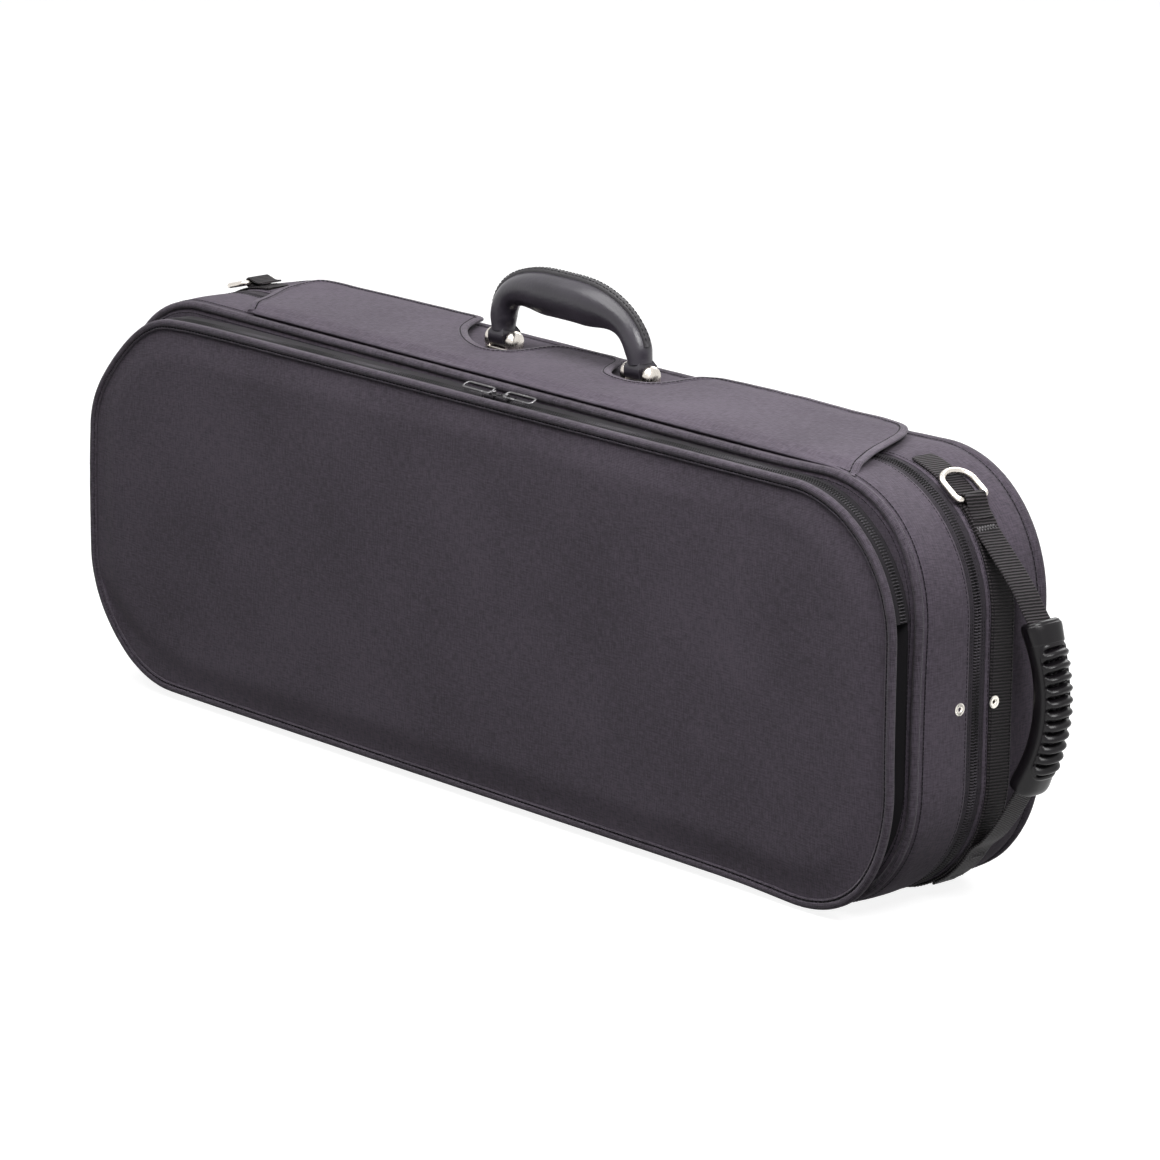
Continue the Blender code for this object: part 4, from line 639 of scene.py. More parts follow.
lightSettings = dict(
    top=dict(place=(-0.10, -0.36, 1.28), aim=(0, -0.1, 0.2), size=1.1, power=14.5),
    front=dict(place=(-0.6, -2.2, 2.7), aim=(0, 0, 0.2), size=1.2, power=6.5),
    end=dict(place=(1.15, -0.30, 1.20), aim=(0.4, 0, 0.2), size=0.7, power=18.0),
    rear=dict(place=(-0.6, 2.2, 1.9), aim=(0, 0, 0.2), size=1.4, power=27.0))


def placeLights(settings):
    for name, light in settings.items():
        data = bpy.data.lights.new(name + "Light", "AREA")
        data.size = light["size"]
        data.energy = light["power"]
        lamp = bpy.data.objects.new(name + "Light", data)
        lamp.location = light["place"]
        lamp.visible_camera = False
        way = Vector(light["aim"]) - Vector(light["place"])
        lamp.rotation_euler = way.to_track_quat("-Z", "Y").to_euler()
        bpy.context.scene.collection.objects.link(lamp)


def showAs(tree, plain, seen, surface):
    # camera and glossy rays meet one shader, all others the plain one
    path = tree.nodes.new("ShaderNodeLightPath")
    mix = tree.nodes.new("ShaderNodeMixShader")
    either = mathNode(tree, "MAXIMUM", path.outputs["Is Camera Ray"],
                      path.outputs["Is Glossy Ray"])
    tree.links.new(either, mix.inputs["Fac"])
    tree.links.new(plain, mix.inputs[1])
    tree.links.new(seen, mix.inputs[2])
    tree.links.new(mix.outputs["Shader"], surface)


def lightWorld(strength=0.12, shown=1.0):
    world = bpy.data.worlds.new("studio")
    world.use_nodes = True
    tree = world.node_tree
    plain = tree.nodes["Background"]
    seen = tree.nodes.new("ShaderNodeBackground")
    for background, level in ((plain, strength), (seen, shown)):
        background.inputs["Color"].default_value = (1.0, 1.0, 1.0, 1.0)
        background.inputs["Strength"].default_value = level
    showAs(tree, plain.outputs["Background"], seen.outputs["Background"],
           tree.nodes["World Output"].inputs["Surface"])
    bpy.context.scene.world = world
    bpy.context.scene.view_settings.view_transform = "Standard"


def layFloor(size=14.0, whiteness=0.34, bounce=0.10, glow=0.88):
    mesh = bpy.data.meshes.new("studioFloor")
    points = [(-size, -size, 0), (size, -size, 0), (size, size, 0), (-size, size, 0)]
    mesh.from_pydata(points, [], [(0, 1, 2, 3)])
    material, tree, shader = newFinish("paleFloor", 0.9)
    shader.inputs["Base Color"].default_value = (whiteness, whiteness, whiteness, 1.0)
    duller = tree.nodes.new("ShaderNodeBsdfDiffuse")
    duller.inputs["Color"].default_value = (bounce, bounce, bounce, 1.0)
    glowing = tree.nodes.new("ShaderNodeEmission")
    glowing.inputs["Strength"].default_value = glow
    addition = tree.nodes.new("ShaderNodeAddShader")
    tree.links.new(shader.outputs["BSDF"], addition.inputs[0])
    tree.links.new(glowing.outputs["Emission"], addition.inputs[1])
    showAs(tree, duller.outputs["BSDF"], addition.outputs["Shader"],
           tree.nodes["Material Output"].inputs["Surface"])
    floor = bpy.data.objects.new("studioFloor", mesh)
    floor.data.materials.append(material)
    floor.location.z = cadBox[0][2] - 0.0005
    bpy.context.scene.collection.objects.link(floor)


placeCamera(cameraSettings)
placeLights(lightSettings)
lightWorld()
layFloor()
print("camera, lights and floor ready")


# cloth covers of the lid and the base, with the rolled edge that joins band and face
coverSettings = dict(
    lid=dict(side=-1, face=lidFace, piping=0.0030, rollNode="front_piping", bulge=0.0007,
             crown=0.0, seed=2.0, pushes=[((0.365, 0.245), (0.0040, 0.0050), 0.060)]),
    base=dict(side=1, face=baseFace, piping=0.0045, rollNode="back_piping", bulge=0.0009,
              crown=0.0012, seed=9.0, pushes=[((0.360, 0.255), (0.0015, 0.0032), 0.070)]),
    hem=0.0072, bottomHem=0.0037, bottomReach=0.300, bottomLevel=0.004, hemFold=0.0035,
    skin=0.0009, ruffle=0.0005)


def hemDistance(x, z, settings):
    # the cloth comes closer to the hinge along the bottom
    if z > settings["bottomLevel"]:
        return settings["hem"]
    outside = softStep(abs(x), settings["bottomReach"] - 0.012, settings["bottomReach"])
    return settings["bottomHem"] + (settings["hem"] - settings["bottomHem"]) * outside


def pushCover(obj, half):
    # the lid's and the base's top right corners stand out a little
    own = coverSettings[half]
    return pushed(obj, own["pushes"], zipPlane + own["side"] * 0.012, own["face"])


def coverSkin(half, nodes):
    own, fold = coverSettings[half], coverSettings["hemFold"]
    side, face, seed = own["side"], own["face"], own["seed"]
    outline = outlineWays(caseShape, step=0.008)
    tuck = 2 * own["piping"] + 0.0004
    depth = abs(face - zipPlane)
    rows = []
    for part, inset in ((0.0, 0.0016), (0.02, 0.0006), (0.25, 0.0001), (1.0, 0.0)):   # folded hem
        rows.append([Vector((x, zipPlane + side * (hemDistance(x, z, coverSettings) + part * fold),
                             z)) - out * inset for x, z, out in outline])
    steps = 12
    for k in range(1, steps + 1):    # the band round the side, a little full in the middle
        row = []
        for x, z, out in outline:
            start = hemDistance(x, z, coverSettings) + fold
            part = k / steps
            base = Vector((x, zipPlane + side * (start + (depth - tuck - start) * part), z))
            swell = own["bulge"] * math.sin(math.pi * part) ** 0.7
            swell += coverSettings["ruffle"] * math.sin(math.pi * part) * (
                softNoise(base, 0.055, seed) + 0.5 * softNoise(base, 0.02, seed))
            if z < coverSettings["bottomLevel"]:
                swell = min(swell, 0.0002)
            row.append(base + out * (swell - 0.0011 * softStep(part, 0.86, 1.0)))
        rows.append(row)
    for inset, back in ((0.25, 0.62), (0.75, 0.30), (1.25, 0.16)):    # behind the piping
        rows.append([Vector((x, face - side * back * tuck, z)) - out * inset * tuck
                     for x, z, out in outline])
    for row in towardsMiddle(caseShape, 1.4 * tuck, 13, step=0.008):
        faceRow = []
        for x, z, part in row:
            base = Vector((x, face, z))
            rise = own["crown"] * softStep(part, 0.0, 0.35) - 0.0004 * (1 - softStep(part, 0, 0.08))
            rise += 0.0006 * softStep(part, 0.0, 0.2) * softNoise(base, 0.09, seed)
            faceRow.append(base + Vector((0, side * rise, 0)))
        rows.append(faceRow)
    mesh = gridMesh(half + "Canvas", rows)
    planarUv(mesh, lambda c: abs(c.y - face) < 0.0035 and 0.008 < c.z < caseHeight - 0.008
             and abs(c.x) < caseLength / 2 - 0.008)
    mergeClose(mesh)
    obj = addPiece(half + "Canvas", mesh, canvas, half, nodes)
    return thicken(pushCover(obj, half), coverSettings["skin"])


def edgePiping(half):
    own = coverSettings[half]
    side, face, radius = own["side"], own["face"], own["piping"]
    rows = []
    for x, z, out in outlineWays(caseShape, radius, step=0.006):
        centre = Vector((x, face - side * radius, z))
        row = []
        for j, a in enumerate(turns(20)):
            size = radius * (1 + 0.05 * softNoise(centre, 0.018, j * 0.05))
            row.append(centre + out * size * math.cos(a) + Vector((0, side, 0)) * size * math.sin(a))
        rows.append(row)
    pushCover(sweptPiece(half + "Piping", rows, bindingCloth, half, (own["rollNode"],), "canvas",
                         across=True), half)
    # flanges each side of the roll, sewn flat to the face and to the side
    lift = 0.0001
    onFace = [(Vector((x, face + side * lift, z)), Vector((0, side, 0)))
              for x, z, out in outlineWays(caseShape, 2 * radius + 0.0018, step=0.006)]
    onSide = [(Vector((x, face - side * (2 * radius + 0.0016), z)) + out * lift, out)
              for x, z, out in outlineWays(caseShape, 0.0, step=0.006)]
    for label, seam in (("Face", onFace), ("Side", onSide)):
        line, normals = zip(*seam)
        pushCover(stitchRow(half + label + "Stitches", line, normals, threadBlack, half, 0.0032,
                            0.0030, 0.00030, closed=True), half)


coverSkin("lid", ("lid_cover", "lid_hinge_strip"))
coverSkin("base", ("base_cover", "base_hinge_strip"))
edgePiping("lid")
edgePiping("base")
print("covers and piping ready")


# main zip: tape and coil on each half
zipSettings = dict(start=-70.0, end=250.0, inset=0.0011, tapeOuter=0.0112, tapeInner=0.0026,
                   tapeSkin=0.0007, coilPitch=0.0020, coilWidth=0.0030, coilRise=0.0015,
                   y=zipPlane, lean=0.0, shape=caseShape, tape=zipCloth, coil=coilRibs,
                   seams=(0.0046, 0.0062))


def zipLine(own, pitch, perPitch=1, across=0.0):
    return lengthLine(own["shape"], own["inset"], own["start"], own["end"], pitch, perPitch,
                      own["y"] + across, own["lean"])


def coilHalf(name, way, body, own):
    # half of the coil: round turns side by side, one every pitch
    perPitch = 4
    width = own["coilWidth"]
    rows = []
    for k, (point, out) in enumerate(zip(*zipLine(own, own["coilPitch"], perPitch))):
        wave = 0.5 + 0.5 * math.cos(2 * math.pi * (k / perPitch + 0.5))
        rise = own["coilRise"] * (0.40 + 0.60 * wave)
        reach = 0.0003 - 0.0002 * wave
        profile = [(-0.0004, reach), (0.55 * rise, reach * 0.6), (0.95 * rise, 0.22 * width),
                   (rise, 0.45 * width), (0.82 * rise, 0.75 * width), (0.3 * rise, 0.97 * width),
                   (-0.0004, width)]
        rows.append([point + out * a + Vector((0, way * b, 0)) for a, b in profile])
    return sweptPiece(name, rows, own["coil"], body, (), "zip_tape")


def tapeHalf(name, way, body, node, own):
    skin, inner, outer = own["tapeSkin"], own["tapeInner"], own["tapeOuter"]
    profile = [(-skin, inner), (0.0, inner), (0.0001, (inner + outer) / 2), (0.0, outer),
               (-skin, outer)]
    rows = []
    for point, out in zip(*zipLine(own, 0.004)):
        ripple = 0.00018 * softNoise(point, 0.012, 4.0)
        rows.append([point + out * (a + ripple) + Vector((0, way * b, 0)) for a, b in profile])
    return sweptPiece(name, rows, own["tape"], body, (node,), "zip_tape")


def mainZipHalf(half, way, own):
    tapeHalf(half + "ZipTape", way, half, half + "_zip_tape", own)
    coilHalf(half + "ZipCoil", way, half, own)
    for row, off in enumerate(own["seams"]):
        line, outs = zipLine(own, 0.01, across=way * off)
        stitchRow(half + "ZipStitches" + str(row), line, outs, threadBlack, half, 0.0027, 0.0019,
                  0.00020)
    hemLine = dict(own, inset=0.0)
    line, outs = zipLine(hemLine, 0.01, across=way * (coverSettings["hem"] + 0.0022))
    stitchRow(half + "HemStitches", [p + n * 0.0001 for p, n in zip(line, outs)], outs,
              threadBlack, half, 0.0030, 0.0022, 0.00022)


mainZipHalf("lid", -1, zipSettings)
mainZipHalf("base", 1, zipSettings)
print("main zip ready")


# music pocket: panel, binding, its zip and the folded gusset
pocketSettings = dict(
    rim=0.0058, thickness=0.0030, crown=0.0026, crownReach=0.024, zipBack=0.0065,
    zipStart=9.0, zipEnd=171.0, rearTape=0.0125, stitchInset=0.0052, skin=0.0009,
    # (x, z), how far that part hangs off the even outline, and its reach
    pushes=[((-0.385, 0.262), (0.0075, -0.0095), 0.062),
            ((0.350, 0.012), (0.0085, -0.0044), 0.060),
            ((-0.375, 0.030), (0.0015, 0.0018), 0.050)],
    # soft creases in the panel: start and end (x, z), half width, depth
    creases=[((-0.377, 0.205), (-0.376, 0.080), 0.005, 0.0006),
             ((-0.398, 0.074), (-0.345, 0.036), 0.006, 0.0015),
             ((-0.352, 0.040), (-0.295, 0.022), 0.009, 0.0012),
             ((-0.360, 0.205), (-0.325, 0.245), 0.008, 0.0004),
             ((0.20, 0.255), (0.33, 0.235), 0.012, 0.0005),
             ((0.372, 0.21), (0.380, 0.09), 0.006, 0.0005)],
    # binding's section: in from the edge, out from the panel's back; the dip is its seam
    binding=[(0.0006, 0.0002), (0.0000, 0.0012), (0.0000, 0.0034), (0.0006, 0.0046),
             (0.0018, 0.0052), (0.0034, 0.0050), (0.0044, 0.0046), (0.0049, 0.0036),
             (0.0054, 0.0036), (0.0059, 0.0045), (0.0066, 0.0043), (0.0070, 0.0037),
             (0.0067, 0.0031), (0.0055, 0.0002)],
    # gusset's section: share of the way from panel to lid, and how far in it folds
    folds=[(0.0, 0.0018), (0.12, 0.0050), (0.30, 0.0110), (0.50, 0.0140), (0.70, 0.0115),
           (0.88, 0.0060), (1.0, 0.0030)])
pocketZipSettings = dict(zipSettings, tapeInner=0.0024, tapeOuter=0.0060, coilPitch=0.0021,
                         coilWidth=0.0026, coilRise=0.0013, start=pocketSettings["zipStart"],
                         end=pocketSettings["zipEnd"], inset=0.0014, lean=pocketLean,
                         y=panelBack + pocketSettings["zipBack"], shape=pocketShape,
                         tape=pocketTapeShaded, coil=pocketRibs)


def onPanel(x, z, out=0.0):
    return Vector((x, panelBack - pocketLean * x - out, z))


def slump(obj):
    # the loose pocket hangs in at one top corner and stands out at the far bottom one
    return pushed(obj, pocketSettings["pushes"], lidFace - 0.001, lidFace - 0.011)


def creaseDepth(x, z, creases):
    total = 0.0
    for (x0, z0), (x1, z1), width, depth in creases:
        dx, dz = x1 - x0, z1 - z0
        t = max(0.0, min(1.0, ((x - x0) * dx + (z - z0) * dz) / (dx * dx + dz * dz)))
        away = math.hypot(x - x0 - dx * t, z - z0 - dz * t) / width
        fade = math.sin(math.pi * (0.15 + 0.7 * t))
        total += depth * fade * math.exp(-away * away)
    return total


def pocketPanel(own):
    rows = []
    for inset, out in ((0.0004, 0.0003), (0.0002, 0.0024), (0.0006, 0.0030)):    # its edge
        rows.append([onPanel(x, z, out) for x, z, angle in
                     outlinePoints(pocketShape, own["rim"] + inset, step=0.007)])
    for row in towardsMiddle(pocketShape, own["rim"] + 0.0012, 26, 1.35, step=0.007):
        faceRow = []
        for x, z, part in row:
            spot = Vector((x, 0.0, z))
            distance = part * pocketShape["height"] / 2
            out = own["thickness"] + own["crown"] * softStep(distance, 0.0, own["crownReach"])
            loose = softStep(distance, 0.004, 0.03)
            out += loose * (0.0007 * softNoise(spot, 0.16, 1.0) + 0.0003 * softNoise(spot, 0.05, 5.0))
            faceRow.append(onPanel(x, z, out - creaseDepth(x, z, own["creases"])))
        rows.append(faceRow)
    mesh = gridMesh("pocketPanel", rows)
    planarUv(mesh)
    mergeClose(mesh)
    obj = addPiece("pocketPanel", mesh, canvas, "pocket", ("pocket_panel",))
    backMesh = gridMesh("pocketPanelBack", [
        [onPanel(x, z, 0.0003) for x, z, part in row]
        for row in towardsMiddle(pocketShape, own["rim"] + 0.0004, 3, 1.0, step=0.007)])
    planarUv(backMesh)
    mendMesh(mesh, mergeGap, joinWith=backMesh).shade_smooth()
    slump(obj)


def pocketBinding(own):
    # flat strip of the same cloth folded over the panel's edge and sewn down
    rows = []
    for x, z, out in outlineWays(pocketShape, 0.0, step=0.005, cornerSteps=36):
        spot = onPanel(x, z)
        ripple = 1 + 0.035 * softNoise(spot, 0.011, 6.0) + 0.03 * softNoise(spot, 0.04, 2.0)
        rows.append([spot - out * inset + Vector((0, -y * ripple, 0))
                     for inset, y in own["binding"]])
    slump(sweptPiece("pocketBinding", rows, bindingCloth, "pocket", ("pocket_binding",), "canvas",
                     across=True))
    line = [onPanel(x, z, 0.0040) for x, z, angle in
            outlinePoints(pocketShape, own["stitchInset"], step=0.005, cornerSteps=36)]
    slump(stitchRow("bindingStitches", line, [Vector((0, -1, 0))] * len(line), threadBlack,
                    "pocket", 0.0034, 0.0027, 0.00040, closed=True))


def pocketZip(own):
    for label, way, body, outer in (("Front", -1, "pocket", own["tapeOuter"]),
                                    ("Rear", 1, "lid", pocketSettings["rearTape"])):
        slump(tapeHalf("pocketTape" + label, way, body, "pocket_zip_" + label.lower(),
                       dict(own, tapeOuter=outer)))
        slump(coilHalf("pocketCoil" + label, way, body, own))


def pocketGusset(own):
    # folded inwards between the lid and the pocket, from one end of the zip to the other; its cloth
    # is painted near black as the shade inside that gap
    grid = dict(step=0.006, cornerSteps=40)
    run = pocketShape["length"] - 2 * pocketShape["radius"]
    parts = round(run / 0.008)
    raw = outlineWays(pocketShape, 0.0, start=own["zipEnd"] + 0.4, end=270.0, **grid)
    raw += [(-run / 2 + run * k / parts, pocketShape["bottom"], outwardOf(270.0))
            for k in range(1, parts)]
    raw += outlineWays(pocketShape, 0.0, start=-90.0, end=own["zipStart"] - 0.4, **grid)
    rows = []
    for x, z, out in raw:
        front = onPanel(x, z)
        row = []
        for part, depth in own["folds"]:
            spot = Vector((x, front.y + (lidFace - front.y) * part, z))
            crumple = 0.0009 * math.sin(math.pi * part) * softNoise(spot, 0.02, 8.0)
            row.append(spot - out * (depth + crumple))
        rows.append(row + [p - out * own["skin"] for p in reversed(row)])
    obj = sweptPiece("pocketGusset", rows, gussetShadeCloth, None, ("pocket_gusset",), "canvas")
    slump(obj)
    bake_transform(obj)


pocketPanel(pocketSettings)
pocketBinding(pocketSettings)
pocketZip(pocketZipSettings)
pocketGusset(pocketSettings)
print("music pocket ready")


# rain flap over the zip: cloth sheet, rolled binding, stitches and fastener pads
flapSettings = dict(under=0.2852, seamUnder=0.2816, thickness=0.0014, frontY=-0.0528,
                    deepest=0.1060, binding=0.0066, bindingRise=0.0030, columns=0.005,
                    rowCount=22, bulge=0.0012, padX=0.190, padY=0.024, padLength=0.090,
                    padWidth=0.020, padCorner=0.003)
# its edge as the cutter would mark it, left to right; gaps between the runs are straight
flapRuns = [[(-0.2620, -0.0520), (-0.2700, -0.0400), (-0.2750, -0.0280), (-0.2860, -0.0080),
             (-0.2910, 0.0040), (-0.2950, 0.0310), (-0.2870, 0.0430), (-0.2530, 0.0470)],
            [(-0.1750, 0.0500), (-0.1290, 0.0510)],
            [(-0.1140, 0.0250), (-0.1050, 0.0140), (-0.0820, -0.0030), (-0.0550, -0.0140),
             (-0.0400, -0.0080), (-0.0350, 0.0060), (-0.0320, 0.0240), (-0.0250, 0.0320),
             (-0.0150, 0.0340)],
            [(0.0240, 0.0345), (0.0340, 0.0310), (0.0410, 0.0210), (0.0480, 0.0080),
             (0.0600, -0.0020), (0.0860, -0.0030), (0.0970, 0.0090), (0.1000, 0.0350),
             (0.1060, 0.0500)],
            [(0.1300, 0.0540), (0.1600, 0.0540)],
            [(0.2600, 0.0540), (0.2780, 0.0500), (0.2920, 0.0390), (0.3020, 0.0250),
             (0.3090, 0.0100), (0.3160, -0.0070), (0.3290, -0.0360), (0.3370, -0.0520)]]


def flapEdge():
    # evened out and rounded a little, as cloth turns its corners
    points = [p for run in flapRuns for p in smoothPath([(x, y, 0) for x, y in run], 6)]
    spots = evenPath(points, 420)
    for again in range(6):
        spots = [spots[0]] + [(a + b * 2 + c) / 4 for a, b, c in
                              zip(spots, spots[1:], spots[2:])] + [spots[-1]]
    return spots


def cornerDrop(x):
    past = max(0.0, abs(x) - (caseLength / 2 - cornerRadius))
    return cornerRadius - math.sqrt(cornerRadius ** 2 - past ** 2)


def flapLevel(x, y, own):
    # height of the sheet's underside: down on the lid at the seam, a little full elsewhere
    spot = Vector((x, y, 0.0))
    rise = own["bulge"] * (0.5 + 0.7 * softNoise(spot, 0.075, 11.0))
    rise += 0.0003 * softNoise(spot, 0.022, 4.0)
    rise *= softStep(y, -0.050, -0.020)
    overRoll = -0.0016 * softStep(y, 0.034, 0.050)
    seam = (own["under"] - own["seamUnder"]) * (1 - softStep(y, -0.0515, -0.0405))
    return own["under"] - seam + rise + overRoll - cornerDrop(x)


def insetPath(points, distance):
    moved = []
    for k, point in enumerate(points):
        run = runAt(points, k, 2)
        moved.append(point + Vector((run.y, -run.x, 0.0)) * distance)
    return moved


def flapStations(inner, own):
    # where the sheet's columns stand: at the edge's own points and between them, not too close
    low, high = min(p.x for p in inner), inner[-1].x
    count = int((high - low) / own["columns"]) + 1
    stations = sorted({round(p.x, 5) for p in inner}
                      | {round(low + k * own["columns"], 5) for k in range(count)})
    stations = [x for x in stations if low + 0.0003 < x < high - 0.0003]
    thinned = [stations[0]]
    for x in stations:
        if x - thinned[-1] > 0.0011:
            thinned.append(x)
    return thinned


def flapSheet(own):
    edge = flapEdge()
    inner = insetPath(edge, 0.0042)
    rows = []
    for x in flapStations(inner, own):
        crossings = [a.y + (b.y - a.y) * (x - a.x) / (b.x - a.x)
                     for a, b in zip(inner, inner[1:]) if (a.x - x) * (b.x - x) <= 0 and a.x != b.x]
        beforeSeam = x < inner[0].x
        if beforeSeam and len(crossings) < 2:
            continue
        top = max(crossings)
        bottom = min(crossings) if beforeSeam else own["frontY"]
        depths = [bottom + (top - bottom) * k / own["rowCount"]
                  for k in range(own["rowCount"] + 1)]
        rows.append([Vector((x, y, flapLevel(x, y, own) + own["thickness"])) for y in depths])
    mesh = gridMesh("flapCloth", rows, around=False)
    planarUv(mesh, first=0, second=1)
    if mesh.polygons[0].normal.z < 0:
        mesh.flip_normals()
    obj = addPiece("flapCloth", mesh, canvasLitTop, None, ("top_flap",))
    thicken(obj, own["thickness"])
    return obj, edge


def flapTrim(own, edge):
    def bindingLevel(x, y):
        return flapLevel(x, y, own) + own["thickness"] * 0.62

    path = insetPath(edge, own["binding"] / 2)
    rows = []
    for k, point in enumerate(path):
        run = runAt(path, k, 2)
        across = Vector((run.y, -run.x, 0.0))
        ripple = 1 + 0.05 * softNoise(point, 0.012, 2.0)
        level = bindingLevel(point.x, point.y)
        row = []
        for a in turns(20):
            wide = boxy(math.cos(a), 0.75) * own["binding"] / 2
            tall = boxy(math.sin(a), 0.8) * own["bindingRise"] / 2 * ripple
            spot = point - across * wide
            row.append(Vector((spot.x, spot.y, level + tall)))
        rows.append(row)
    binding = sweptPiece("flapBinding", rows, bindingLitTop, None, ("flap_binding",), "canvas")
    raised = [Vector((p.x, p.y, bindingLevel(p.x, p.y) + own["bindingRise"] * 0.44))
              for p in insetPath(edge, own["binding"] - 0.0014)]
    stitches = stitchRow("flapStitches", raised, [Vector((0, 0, 1))] * len(raised), threadBlack,
                         None, 0.0034, 0.0031, 0.00040)
    return binding, stitches


def fastenerPad(name, x, low, high, body, nodes, own, rising):
    # hook or loop pad: a sewn square of tape with its own nap
    halfX, halfY = own["padLength"] / 2 - own["padCorner"], own["padWidth"] / 2 - own["padCorner"]
    ring = []
    for cx, cy, first in ((1, 1, 0), (-1, 1, 90), (-1, -1, 180), (1, -1, 270)):
        ring += arc(x + cx * halfX, own["padY"] + cy * halfY, own["padCorner"],
                    [first + 90 * k / 5 for k in range(6)])
    rows = []
    napTop = high + (high - low) * 0.02
    for level, shrink in ((low, 0.985), (low + 0.0003, 1.0), (high - 0.0004, 1.0), (high, 0.975),
                          (napTop, 0.6), (napTop, 0.05)):
        z = level if rising else low + high - level
        rows.append([Vector((x + (px - x) * shrink, own["padY"] + (py - own["padY"]) * shrink, z))
                     for px, py in ring])
    mesh = gridMesh(name, rows, caps=True)
    planarUv(mesh, first=0, second=1)
    addPiece(name, mesh, fastenerTape, body, nodes)


flapCloth, flapLine = flapSheet(flapSettings)
for piece in (flapCloth, *flapTrim(flapSettings, flapLine)):
    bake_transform(piece)
for label, x in (("left", -flapSettings["padX"]), ("right", flapSettings["padX"])):
    fastenerPad("loopPad_" + label, x, 0.2813, 0.2830, "base", ("loop_pad_" + label,),
                flapSettings, True)
    fastenerPad("hookPad_" + label, x, 0.2834, 0.2856, "flap", (), flapSettings, False)
print("rain flap ready")


# carrying handle: padded leather grip, welt, stitches, tabs, and the nickel holders
handleSettings = dict(x=0.0030, y=0.0120, pinZ=0.2905, span=0.1360, rise=0.0395, curve=2.9,
                      leanBack=0.0060, legRadius=0.0093, gripHalfWidth=0.0130, bulgeTop=0.0022,
                      bulgeUnder=0.0090, tabRise=0.0100, tabWidth=0.0148, tabDepth=0.0164,
                      weltWidth=0.0052, weltHeight=0.0026, steps=96, sides=32, pinBore=0.0023)
holderSettings = dict(reach=0.0150, wide=0.0071, height=0.0136, seat=0.2813, gap=0.0004,
                      pinReach=0.0126, pinRadius=0.0020)


def handleFrames(own):
    # along the arch: centre, outward way, how full the grip is, and how near an end is
    power = 2 / own["curve"]
    raw = []
    for k in range(901):
        angle = math.pi * k / 900
        raw.append(Vector((own["x"] - own["span"] / 2 * boxy(math.cos(angle), power)
                           - own["leanBack"] * math.sin(angle), 0.0,
                           own["pinZ"] + own["rise"] * math.sin(angle) ** power)))
    path = evenPath([p for p in raw if p.z > own["pinZ"] + own["tabRise"] * 0.42], own["steps"])
    frames = []
    for k, point in enumerate(path):
        run = runAt(path, k)
        nearEnd = min(k, len(path) - 1 - k) / (len(path) - 1)
        frames.append((Vector((point.x, own["y"], point.z)), Vector((-run.z, 0.0, run.x)),
                       softStep(nearEnd, 0.12, 0.40), nearEnd))
    return frames


def handleGrip(own):
    leg = own["legRadius"]
    rows = []
    for centre, out, full, nearEnd in handleFrames(own):
        neck = 0.94 + 0.06 * softStep(nearEnd, 0.0, 0.10)
        pinch = 0.81 + 0.19 * softStep(nearEnd, 0.010, 0.055)
        row = []
        for a in turns(own["sides"], 0.5):
            c = math.cos(a)
            # flatter on top, where the welt lies
            rise, power = (own["bulgeTop"], 0.88) if c > 0 else (own["bulgeUnder"], 1.0)
            up = (leg * pinch + full * rise) * boxy(c, power)
            across = (leg * neck + full * (own["gripHalfWidth"] - leg)) * math.sin(a)
            row.append(centre + out * up + Vector((0, across, 0)))
        rows.append(row)
    grip = sweptPiece("handleGrip", rows, leather, "handle", ("top_handle",), "leather", sharp=75)


def handleWelt(own):
    # raised strip along the ridge with a row of stitches at each side
    profile = [(-0.5, -0.5), (-0.5, 0.35), (-0.36, 0.9), (-0.15, 1.02), (0.15, 1.02), (0.36, 0.9),
               (0.5, 0.35), (0.5, -0.5)]
    rows, near, far, normals = [], [], [], []
    for k, (centre, out, full, nearEnd) in enumerate(handleFrames(own)[5:-5]):
        foot = own["legRadius"] + full * own["bulgeTop"] - 0.0002
        wide = own["weltWidth"] * (1.0 + 0.35 * full)
        tall = own["weltHeight"] * (1 + 0.10 * math.sin(k * 1.9))
        rows.append([centre + out * (foot + tall * b) + Vector((0, wide * a, 0))
                     for a, b in profile])
        ridge = centre + out * (foot + own["weltHeight"] * 0.98)
        near.append(ridge + Vector((0, -wide * 0.3, 0)))
        far.append(ridge + Vector((0, wide * 0.3, 0)))
        normals.append(out)
    sweptPiece("handleWelt", rows, weltLeather, "handle", ("handle_welt",), "leather")
    for label, line in (("Near", near), ("Far", far)):
        stitchRow("weltStitches" + label, line, normals, threadBlack, "handle", 0.0034, 0.0025,
                  0.00034)


